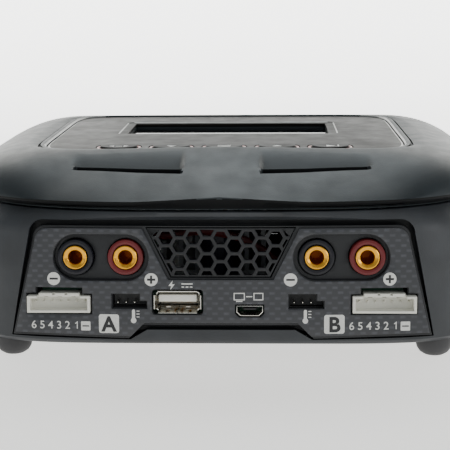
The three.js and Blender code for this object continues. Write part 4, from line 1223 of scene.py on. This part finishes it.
def make_sockets():
    """Four banana sockets: a coloured ring round a plated tube."""
    y = bow(POD["x"]) + 0.3
    bushing = [(3.78, 1.6), (3.78, 0.25), (3.95, -0.05), (4.25, -0.2), (5.0, -0.2), (5.3, -0.08),
               (5.45, 0.25), (5.45, 6.6), (3.78, 6.6)]
    contact = [(0, 13), (1.95, 13), (2.0, 0.6), (2.12, 0.05), (2.4, -0.22), (2.75, -0.3), (2.95, -0.48),
               (3.3, -0.55), (3.55, -0.4), (3.66, -0.05), (3.66, 1.0), (3.05, 1.0), (3.05, 16), (0, 16)]
    for name, x in SOCKETS.items():
        colour = "red" if name.endswith("positive") else "black"
        ring = front_lathe("socket_ring_" + name, bushing, x, SOCKET_Z, y, "ring_" + colour)
        finish_piece(ring, "charger", ["socket_bushing_" + name])
        tube = front_lathe("socket_tube_" + name, contact, x, SOCKET_Z, y, "gold")
        shade_bore_faces(tube, x, y)
        finish_piece(tube, "charger", ["socket_contact_" + name], 40)


def shade_bore_faces(tube, x, y):
    """Gives the faces inside a socket's bore a darker copy of the gold: painted shade for the deep bore."""
    tube.data.materials.append(MATERIALS["bore"])
    inverse = FRONT.inverted()
    for face in tube.data.polygons:
        place = inverse @ face.center
        if math.hypot(place.x - x, place.z - SOCKET_Z) < 2.08 and place.y > y:
            face.material_index = 1


def pin_row(count, pitch, y0, y1, x, z, material, half):
    """Square pins in a row, pointed at their front ends."""
    pins = []
    for i in range(count):
        u = (i - (count - 1) / 2) * pitch
        rows = []
        for y, h in ((y0, half * 0.45), (y0 + 0.5, half), (y1, half)):
            rows.append([FRONT @ Vector((x + u + a * h, y, z + b * h))
                         for a, b in ((-1, -1), (1, -1), (1, 1), (-1, 1))])
        pins.append(clean(loft("pin", rows, material)))
    return merge("pins", pins)


def make_headers():
    for letter, side in SIDES.items():
        x, z = side * HEADER["x"], HEADER["z"]
        hw, hh = HEADER["w"] / 2 - 0.3, HEADER["h"] / 2 - 0.3
        shroud = front_block((-hw, 0.3, -hh), (hw, 8.1, hh), x, z, "nylon")
        hollow = front_block((-hw + 0.85, -1, -hh + 0.75), (hw - 0.85, 4.6, hh - 0.7), x, z)
        slot = front_block((-6.6, -1, 0.9), (6.6, 2.6, hh + 2), x, z)
        ribs = [front_block((u - 0.7, -1, hh - 0.95), (u + 0.7, 5, hh - 0.3), x, z)
                for u in (-4.3, 0, 4.3)]
        cut(shroud, hollow, slot, *ribs)
        soften(shroud, 0.14, 2, 50)
        stages = ((1.7, 0.9, hh + 0.6), (1.9, 0.7, hh + 0.7), (8.0, 0.7, hh + 0.7))  # depth, inset, top
        rows = []
        for y, tip, top in stages:
            half = 7.0 - tip
            outline = ((-half, hh - 0.3), (half, hh - 0.3), (half, top), (5.9, top), (-5.9, top), (-half, top))
            rows.append(in_front([(x + u, z + v) for u, v in outline], y))
        raised = clean(loft("raised", rows, "nylon"))
        windows = [front_block((u - 0.4, 1.0, hh + 0.1), (u + 0.4, 2.6, hh + 2), x, z) for u in (-1.7, 2.1)]
        cut(raised, *windows)
        shroud = merge("balance_header_" + letter, [shroud, raised])
        finish_piece(shroud, "charger", ["balance_port_" + letter], 35)
        pins = pin_row(7, 2.5, 3.3, 7.4, x, z + 0.5, "nylon", 0.26)
        pins.name = "balance_pins_" + letter
        finish_piece(pins, "charger", [])


def make_temp_ports():
    for letter in SIDES:
        x, z = TEMP[letter], TEMP["z"]
        shroud = front_block((-5.6, 4.5, -2.9), (7.4, 8.1, 2.9), x, z, "port_black")
        cut(shroud, front_block((-4.2, 3.5, -2.1), (6.2, 6.8, 2.1), x, z))
        soften(shroud, 0.15, 2, 50)
        shroud.name = "temp_shroud_" + letter
        finish_piece(shroud, "charger", ["temp_port_" + letter], 35)
        pins = pin_row(3, 2.54, 1.8, 7.4, x, z - 0.55, "nickel", 0.28)
        pins.name = "temp_pins_" + letter
        finish_piece(pins, "charger", [])


def tongue_on_block(name, at, tongue, back, material, round_edge):
    """A socket's tongue with its edges softened, standing on the block behind it."""
    blade = soften(front_block(*tongue, *at, material), round_edge, 2, 50)
    return merge(name, [blade, front_block(*back, *at, material)])


def make_usb():
    """A USB socket: a shell with a flared mouth split at its corners, a tongue and its contacts."""
    at = (USB["x"], USB["z"])
    profile = [(13.2, 5.7, 0.7, 13), (13.2, 5.7, 0.7, 1.7), (13.5, 6.0, 0.9, 1.0),
               (14.3, 6.8, 1.1, 0.3), (14.5, 7.0, 1.2, 0.12), (14.3, 6.8, 1.1, -0.05),
               (13.95, 6.45, 1.0, -0.03), (13.5, 6.0, 0.7, 0.5), (12.7, 5.2, 0.4, 1.6),
               (12.4, 4.9, 0.4, 13), (13.2, 5.7, 0.7, 13)]  # width, height, radius, y
    rows = [in_front(rounded(w, h, r, *at), y) for w, h, r, y in profile]
    shell = clean(loft("usb_shell", rows, "nickel", False, False))
    splits = [front_block((x0, -1.5, z0), (x1, 2.2, z1), *at)
              for x0, x1 in ((-8, -5.9), (5.9, 8)) for z0, z1 in ((-4, -2.1), (2.1, 4))]
    splits.append(front_block((-0.1, -1, -4), (0.1, 12, -2.2), *at))
    cut(shell, *splits)
    finish_piece(shell, "charger", ["usb_port_shell"], 35)

    tongue = tongue_on_block("usb_tongue", at, ((-5.75, 1.1, 0.0), (5.75, 10.4, 2.05)),
                             ((-5.9, 10, -2.15), (5.9, 12.8, 2.15)), "nylon", 0.15)
    finish_piece(tongue, "charger", ["usb_port_tongue"], 35)
    strips = [front_block((u - 0.45, 1.9, -0.14), (u + 0.45, 9.9, 0.05), *at, "gold")
              for u in (-3.5, -1.0, 1.0, 3.5)]
    leaves = [front_block((u - 0.7, 3.6, -2.15), (u + 0.7, 5.5, -1.95), *at, "nickel") for u in (-3.0, 3.0)]
    contacts = merge("usb_contacts", strips + leaves)
    finish_piece(contacts, "charger", [], 35)


def make_micro():
    """The small USB socket: a shell with a rolled lip, and its blade."""
    profile = ((0.0, 6.6), (0.0, 0.75), (0.24, 0.2), (0.22, 0.07), (0.08, 0.02), (-0.06, 0.15), (-0.35, 0.8),
               (-0.35, 6.6), (0.0, 6.6))  # margin, y
    rows = [in_front(micro_outline(margin), y) for margin, y in profile]
    shell = clean(loft("micro_usb_mouth", rows, "nickel", False, False))
    finish_piece(shell, "charger", ["micro_usb_shell"], 35)
    blade = tongue_on_block("micro_usb_blade", (MICRO["x"], MICRO["z"]), ((-1.85, 1.2, 0.1), (1.85, 5.5, 0.65)),
                            ((-2.1, 5.2, -0.6), (2.1, 6.5, 0.65)), "port_black", 0.1)
    finish_piece(blade, "charger", ["micro_usb_tongue"], 35)


# ---------------------------------------------------------------- control panel
BUTTON_LOW, BUTTON_HIGH = node_box("button_menu")
LENS_LOW, LENS_HIGH = node_box("display_window")
GUIDE_LOW, GUIDE_HIGH = node_box("light_guide")
CAP_TOP = BUTTON_HIGH[2]


def window_rows(stages):
    """The window's outline at stages of growth, corner radius and height."""
    return [[(u, v, z) for u, v in rounded(WINDOW["w"] + 2 * grow, WINDOW["d"] + 2 * grow, radius,
                                           WINDOW["x"], WINDOW["y"])] for grow, radius, z in stages]


def make_control_panel():
    """The plate with its sunk bezel and button holes, and the display's window."""
    angles = even_angles(400, 59, 46.5, PANEL_EXPONENT)
    low, top = PANEL_TOP - PANEL_THICKNESS, PANEL_TOP
    profile = ((0.15, low), (0, low + 0.15), (0, top - 0.5), (0.1, top - 0.32), (0.7, top - 0.05), (1.0, top))
    rows = [ring_row(PANEL_HALF_X - inset, PANEL_HALF_Y - inset, PANEL_EXPONENT, angles, z)
            for inset, z in profile]
    plate = loft("control_plate", rows, "gloss")
    bezel = [(0, 0.8, low - 3), (0, 0.8, top - 0.32), (0.2, 0.9, top - 0.25), (2.85, 2.5, top - 0.2),
             (3.3, 3.0, top + 0.02), (3.35, 3.0, top + 4)]
    holes = [button_prism("hole", x, y, 3.0, low - 3, top + 3) for x, y in BUTTONS.values()]
    cut(plate, loft("window", window_rows(bezel)), merge("holes", holes))
    paint_edge_highlights(plate)
    finish_piece(plate, "charger", ["control_panel"], 20)

    lens_low, lens_top = LENS_LOW[2], LENS_HIGH[2] - 0.4
    rows = window_rows([(-0.35, 0.6, lens_low), (-0.35, 0.6, lens_top - 0.12), (-0.47, 0.5, lens_top)])
    finish_piece(loft("display_lens", rows, "lens"), "charger", ["display_window"], 30)


def paint_edge_highlights(plate):
    """Painted highlight: the plate's rounded sides and the bezel's rim get a light grey where they catch the
    light.
    """
    plate.data.materials.append(MATERIALS["edge"])
    for face in plate.data.polygons:
        x, y, z = face.center
        side = abs(x) > PANEL_HALF_X - 7 and PANEL_TOP - 0.45 < z < PANEL_TOP - 0.03
        side = side and not in_plate(x, y, -1.1)
        u = abs(x - WINDOW["x"]) - WINDOW["w"] / 2
        v = abs(y - WINDOW["y"]) - WINDOW["d"] / 2
        rim = 2.9 < max(u, v) < 3.32 and PANEL_TOP - 0.2 < z < PANEL_TOP - 0.02
        # Painted highlight on the plate's sides and the bezel's rim.
        if side or rim:
            face.material_index = 1


def dished(x, y, x0, y0, top):
    """The height of a button's dished top."""
    w, d = BUTTON_SIZE
    return top - 0.34 * (1 - ((x - x0) / (w / 2)) ** 2) - 0.04 * (1 - ((y - y0) / (d / 2)) ** 2)


def make_buttons():
    """Five caps on their flanges and stems, each with a printed symbol."""
    w, d = BUTTON_SIZE
    flange_top = GUIDE_LOW[2] - 0.35
    board_top = node_box("control_board")[1][2]
    for name, (x, y) in BUTTONS.items():
        rows = []
        for shrink, z in ((0.3, flange_top - 0.5), (0, flange_top - 0.2), (0, CAP_TOP - 1.0)):
            rows.append([(u, v, z) for u, v in oval_points(w - shrink, d - shrink, x, y)])
        for shrink, drop in ((0.0, 0.38), (0.12, 0.16), (0.4, 0.03), (0.8, 0.0), (2.2, 0), (4.2, 0), (6.2, 0),
                             (7.6, 0)):
            outline = oval_points(w * (1 - shrink / d), d - shrink, x, y)
            rows.append([(u, v, dished(u, v, x, y, CAP_TOP) - drop) for u, v in outline])
        cap = loft("cap", rows, "cap")
        flange = block("flange", (x - 7.6, y - 2.5, flange_top - 0.9), (x + 7.6, y + 2.5, flange_top), "cap")
        stem = prism("stem", circle(x, y, 1.7, 24), board_top + 2.4, flange_top, "cap")
        button = merge("push_button_" + name, [cap, flange, stem])
        finish_piece(button, "button_" + name, ["button_" + name], 35)
        symbol = merge("button_symbol_" + name, button_symbol(name, x, y))
        finish_piece(symbol, "button_" + name, [], 35)


def raised_mark(points, x0, y0):
    """A thin printed mark lying on a button's dished top."""
    dense = []
    for i, a in enumerate(points):
        b = points[(i + 1) % len(points)]
        steps = max(1, int(math.hypot(b[0] - a[0], b[1] - a[1]) / 0.5))
        dense += [(mix(a[0], b[0], k / steps), mix(a[1], b[1], k / steps)) for k in range(steps)]
    rows = [[(x0 + u, y0 + v, dished(x0 + u, y0 + v, x0, y0, CAP_TOP) + lift) for u, v in wound(dense)]
            for lift in (-0.04, 0.03)]
    return loft("mark", rows, "ink")


def button_symbol(name, x, y):
    """Two arrowheads and a bar, an arrowhead, three bars, or an arrowhead against a stop."""
    arrow = [(-1.5, -0.8), (1.5, -0.8), (0, 1.1)]
    shapes = {
        "channel": [[(-3.2, 0), (-1.6, -1), (-1.6, 1)], [(3.2, 0), (1.6, 1), (1.6, -1)], bar(0, 0, 2.2, 0.45)],
        "down": [[(u, -v) for u, v in arrow]],
        "menu": [bar(0, k, 4.2, 0.42) for k in (-1.2, 0, 1.2)],
        "up": [arrow],
        "enter": [[(-1.2, -1.4), (-1.2, 1.4), (1.6, 0)], bar(2.6, 0, 0.45, 2.6)],
    }
    return [raised_mark(shape, x, y) for shape in shapes[name]]


def make_light_guide():
    """A clear strip under the buttons, with a ring that rises round each of them."""
    low, top = GUIDE_LOW[2], PANEL_TOP - 0.12
    y = BUTTONS["menu"][1]
    strip = block("strip", (GUIDE_LOW[0], y - 7, low), (GUIDE_HIGH[0], y + 7, low + 1), "lit_red")
    holes = [button_prism("hole", *place, 2, low - 2, low + 3) for place in BUTTONS.values()]
    cut(strip, merge("holes", holes))
    section = ((2.4, low), (2.4, top - 0.15), (2.15, top), (1.15, top), (0.9, top - 0.15), (0.9, low),
               (2.4, low))  # growth, height
    w, d = BUTTON_SIZE
    rings = []
    for place in BUTTONS.values():
        rows = [[(u, v, z) for u, v in oval_points(w + grow, d + grow, *place)] for grow, z in section]
        rings.append(clean(loft("ring", rows, "lit_red", False, False)))
    guide = merge("button_light_guide", [strip, *rings])
    finish_piece(guide, "charger", ["light_guide"], 35)


# ---------------------------------------------------------------- rear panel
REAR_Y = 73.2
FAN = {"x": -36, "z": 27.5, "size": 35, "bore": 16.4, "blades": 7}
FAN_SLOT = {"rows": 2, "pitch": 5.2, "reach": 15.6}  # rows above and below the middle one
AC = {"x": 35, "z": 26.5}
DC = {"x": 0.5, "z": 24}


def to_rear(target, y=0.0, bowed=True):
    """Stands a flat plate up on the rear, its face outwards at y beyond the rear panel's face."""
    for vertex in target.data.vertices:
        u, v, w = vertex.co
        vertex.co = Vector((u, REAR_Y + y + w - (bow(u) if bowed else 0), v))
    return clean(target)


def rear_prism(name, outline, y0, y1):
    """A cutter between two depths behind the rear panel's face."""
    return clean(loft(name, [[(u, REAR_Y + y, v) for u, v in outline] for y in (y0, y1)]))


def fan_slots():
    """Rows of slots over the fan, split by an upright bar."""
    slots = []
    for row in range(-FAN_SLOT["rows"], FAN_SLOT["rows"] + 1):
        z = row * FAN_SLOT["pitch"]
        half = math.sqrt(FAN_SLOT["reach"] ** 2 - z * z)
        for side in (-1, 1):
            slots.append(rounded(half - 1, 3.6, 1.2, FAN["x"] + side * (half / 2 + 0.5), FAN["z"] + z))
    return slots


def inlet(name, at, shape, flange, body, depth):
    """A socket body let into the rear: its flange, its box and the cavity of this shape and depth."""
    x, z = at["x"], at["z"]
    cavity = [(x + u, z + v) for u, v in shape]
    face = flat_plate("flange", rounded(flange["w"], flange["h"], flange["r"], x, z), [cavity],
                      flange["depth"], flange["bevel"], "port_black")
    to_rear(face, flange["y"], False)
    half, high = body["half"], body["high"]
    box = block("body", (x - half, REAR_Y - body["back"], z - high),
                (x + half, REAR_Y + body["front"], z + high), "port_black")
    cut(box, rear_prism("cavity", cavity, -depth, 5))
    return merge(name, [face, box])


def make_rear():
    """The rear panel, the mains inlet with its blades, and the direct current inlet with its pins."""
    openings = [rounded(27.8, 20.8, 0.4, AC["x"], AC["z"]), rounded(20.8, 11.2, 0.4, DC["x"], DC["z"])]
    plate = flat_plate("rear_plate", rear_outline(), [*openings, *fan_slots()], 2.4, 0.25, "recess")
    finish_piece(to_rear(slice_mesh(plate)), "charger", ["rear_panel"])

    w, h, c = 12.2, 8.2, 3.6
    shape = ((-w, -h), (w, -h), (w, h - c), (w - c, h), (-w + c, h), (-w, h - c))
    mains = inlet("mains_inlet", AC, shape, {"w": 31, "h": 24, "r": 2.4, "depth": 2.2, "bevel": 0.6, "y": 2.5},
                  {"half": 13.5, "high": 10, "back": 23.5, "front": 0.4}, 15.5)
    finish_piece(mains, "charger", ["ac_inlet"], 30)
    blades = []
    for u, v in ((-7, -2), (7, -2), (0, 2)):
        x, z = AC["x"] + u, AC["z"] + v
        rows = [[(x + a * k, REAR_Y + y, z + b * k) for a, b in ((-1, -2), (1, -2), (1, 2), (-1, 2))]
                for y, k in ((-15.6, 1), (-2.6, 1), (-2.0, 0.72))]
        blades.append(clean(loft("blade", rows, "nickel")))
    finish_piece(merge("mains_inlet_blades", blades), "charger", [], 30)

    shape = ((-7.8, -3.9), (7, -3.9), (8.6, -2.2), (8.6, 2.2), (7, 3.9), (-7.8, 3.9))
    direct = inlet("dc_inlet", DC, shape, {"w": 25, "h": 15, "r": 1.8, "depth": 2.0, "bevel": 0.45, "y": 2.3},
                   {"half": 10, "high": 5.2, "back": 15.5, "front": 0.5}, 12)
    finish_piece(direct, "charger", ["dc_inlet_housing"], 30)
    for name, side in (("negative", -1), ("positive", 1)):
        profile = [(0, -18), (1.75, -18), (1.75, -0.9), (1.6, -0.35), (1.2, 0), (0, 0)]
        pin = lathe("dc_pin_" + name, profile, (DC["x"] + side * 3.6, REAR_Y, DC["z"]), "gold", "Y", 32)
        finish_piece(pin, "charger", ["dc_inlet_pin_" + name], 35)


FAN_LOW, FAN_HIGH = node_box("fan_frame")
FAN_BACK, FAN_FRONT = FAN_HIGH[1], FAN_LOW[1]
FAN_CENTRE = Vector((FAN["x"], 0, FAN["z"]))


def fan_housing():
    """A square frame round the bore, with a hub held by three spokes at the back."""
    half = FAN["size"] / 2
    bolts = [circle(FAN["x"] + sx * (half - 2.7), FAN["z"] + sz * (half - 2.7), 1.4, 20)
             for sx in (-1, 1) for sz in (-1, 1)]
    square = rounded(FAN["size"], FAN["size"], 3, FAN["x"], FAN["z"])
    bore = circle(FAN["x"], FAN["z"], FAN["bore"])
    housing = flat_plate("frame", square, [bore, *bolts], FAN_BACK - FAN_FRONT, 0.4, "port_black")
    to_rear(housing, FAN_BACK - REAR_Y, False)
    hub = [(0, 1.2), (7.8, 1.2), (8, 1.0), (8, 0.2), (7.8, 0), (0, 0)]  # radius, distance from the back
    hub = lathe("hub", [(r, FAN_BACK - d) for r, d in hub], FAN_CENTRE, "port_black", "Y", 48)
    spokes = []
    for degrees in (15, 135, 255):
        turn = Matrix.Translation(FAN_CENTRE) @ Matrix.Rotation(math.radians(degrees), 4, "Y")
        spokes.append(block("spoke", (7.5, FAN_BACK - 1.2, -0.9), (FAN["bore"] + 0.3, FAN_BACK, 0.9),
                            "port_black", turn))
    return merge("fan_housing", [housing, hub, *spokes])


def blade_section(chord):
    """A cambered section, up one side and back down the other."""
    line = [(s * chord, 0.5 * (1 - (2 * s) ** 2)) for s in np.linspace(-0.5, 0.5, 9)]

    def half_thickness(u):
        return 0.32 * (1 - abs(u) / 4) + 0.08

    return ([(u, v + half_thickness(u)) for u, v in line]
            + [(u, v - half_thickness(u)) for u, v in reversed(line)])


def fan_blade(turn):
    """A blade wrapped round the shaft, swept and flattening towards its tip."""
    middle_y = (FAN_FRONT + FAN_BACK) / 2 - 0.6
    rows = []
    for share in np.linspace(0, 1, 8):
        radius = mix(8.0, 15.6, share)
        pitch = math.radians(mix(50, 40, share))
        sweep = 0.25 * share ** 1.5
        row = []
        for u, v in blade_section(mix(7.0, 8.0, share)):
            along = u * math.sin(pitch) + v * math.cos(pitch)
            around = (u * math.cos(pitch) - v * math.sin(pitch)) / radius + sweep
            local = Vector((radius * math.cos(around), middle_y + along, radius * math.sin(around)))
            row.append(FAN_CENTRE + turn @ local)
        rows.append(row)
    return clean(loft("blade", rows, "port_black"))


def make_fan():
    finish_piece(fan_housing(), "charger", ["fan_frame"], 30)
    low, high = FAN_FRONT + 0.6, FAN_BACK - 1.9
    profile = [(0, low), (7.6, low), (8.3, low + 0.5), (8.4, high), (0, high)]
    hub = lathe("rotor_hub", profile, FAN_CENTRE, "port_black", "Y", 48)
    blades = [fan_blade(Matrix.Rotation(2 * math.pi * i / FAN["blades"], 4, "Y")) for i in range(FAN["blades"])]
    finish_piece(merge("fan_impeller", [hub, *blades]), "fan_rotor", ["fan_rotor"], 35)


# ---------------------------------------------------------------- feet and screws
FOOT_PROFILE = [(0, 0), (1.9, 0), (3.3, 0.32), (4.5, 1.1), (5.3, 2.3), (5.7, 3.7), (5.8, 5.2), (5.8, 6.25),
                (0, 6.25)]


def make_foot(name):
    x, y, _ = middle("foot_" + name)
    foot = lathe("rubber_foot_" + name, FOOT_PROFILE, (x, y, 0), "rubber", "Z", 48)
    finish_piece(foot, "charger", ["foot_" + name], 50)


def make_screw(name):
    """A pan-headed screw with a crossed drive, its head underneath."""
    x, y, _ = middle("case_screw_" + name)
    low, high = node_box("case_screw_" + name)
    z = low[2]
    profile = [(0, z), (1.9, z), (2.6, z + 0.3), (3.0, z + 1.1), (3.0, z + 2.2), (1.5, z + 2.2),
               (1.5, high[2]), (0, high[2])]
    screw = lathe("housing_screw_" + name, profile, (x, y, 0), "zinc", "Z", 36)
    for w, d in ((3.0, 0.7), (0.7, 3.0)):
        cut(screw, prism("drive", bar(x, y, w, d), z - 1, z + 1.2))
    finish_piece(screw, "charger", ["case_screw_" + name], 35)


# ---------------------------------------------------------------- pieces kept from the frame
KEPT = {
    "connector_board": "board", "control_board": "board", "main_board": "board", "display_frame": "zinc",
    "display_glass": "glass", "transformer_core": "ferrite", "transformer_winding": "enamel",
    "capacitor_mains": "sleeve", "capacitor_output": "sleeve", "heat_sink": "aluminium",
    "output_lead": "lead_red",
    **{"switch_" + name: "port_black" for name in BUTTONS},
}


def dress_frame():
    """Gives the CAD's own inner parts their materials."""
    for name, material in KEPT.items():
        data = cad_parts[name].data
        data.materials.clear()
        data.materials.append(MATERIALS[material])


make_front()
make_legends()
make_sockets()
make_headers()
make_temp_ports()
make_usb()
make_micro()
make_control_panel()
make_buttons()
make_light_guide()
make_rear()
make_fan()
for corner_name in CORNER_NAMES:
    make_foot(corner_name)
    make_screw(corner_name)
dress_frame()


# ---------------------------------------------------------------- floor and backdrop
STAGE_HALF_WIDTH = 1900
STAGE_PROFILE = [(-1600, 0), (500, 0), (700, 16), (880, 70), (1010, 180), (1080, 340), (1100, 560),
                 (1100, 1700)]  # depth, height
NEAR_GLOW = (1.15, 1.14, 1.10)  # of the paper on the floor in front
FAR_GLOW = (4.4, 4.4, 4.32)  # of the backdrop behind the charger
UPPER_GLOW = (1.2, 1.21, 1.17)  # above it, seen only in reflections
SIDE_GLOW = (4.4, 4.4, 4.2)  # above it and to the sides


def make_stage():
    """One sheet of pale paper that curves up behind and glows as if evenly lit."""
    points = []
    for (y0, z0), (y1, z1) in zip(STAGE_PROFILE, STAGE_PROFILE[1:]):
        points += [(mix(y0, y1, k / 4), mix(z0, z1, k / 4)) for k in range(4)]
    points.append(STAGE_PROFILE[-1])
    vertices = [(side * STAGE_HALF_WIDTH, y, z) for y, z in points for side in (-1, 1)]
    faces = [(2 * i, 2 * i + 1, 2 * i + 3, 2 * i + 2) for i in range(len(points) - 1)]
    sheet = make_object("paper_sheet", vertices, faces)
    material, tree, shader = new_material("pale_paper")
    point = millimetres(tree)
    split = node(tree, "ShaderNodeSeparateXYZ")
    tree.links.new(point, split.inputs[0])
    behind = spread(tree, split.outputs["Y"], 0, 1, -100, 1000)
    high = spread(tree, split.outputs["Z"], 0, 1, 110, 260)
    aside = spread(tree, maths(tree, "ABSOLUTE", split.outputs["X"]), 0, 1, 120, 420)
    upper = blend_colours(tree, aside, UPPER_GLOW, SIDE_GLOW)
    lower = blend_colours(tree, behind, NEAR_GLOW, FAR_GLOW)
    tree.links.new(blend_colours(tree, high, lower, upper), shader.inputs["Emission Color"])
    shader.inputs["Emission Strength"].default_value = 1.0
    shader.inputs["Base Color"].default_value = (0.33, 0.33, 0.325, 1)
    shader.inputs["Roughness"].default_value = 0.95
    shader.inputs["Specular IOR Level"].default_value = 0.1
    sheet.data.materials.append(material)
    sheet.data.transform(Matrix.Scale(MM, 4))
    sheet.data.shade_smooth()


make_stage()
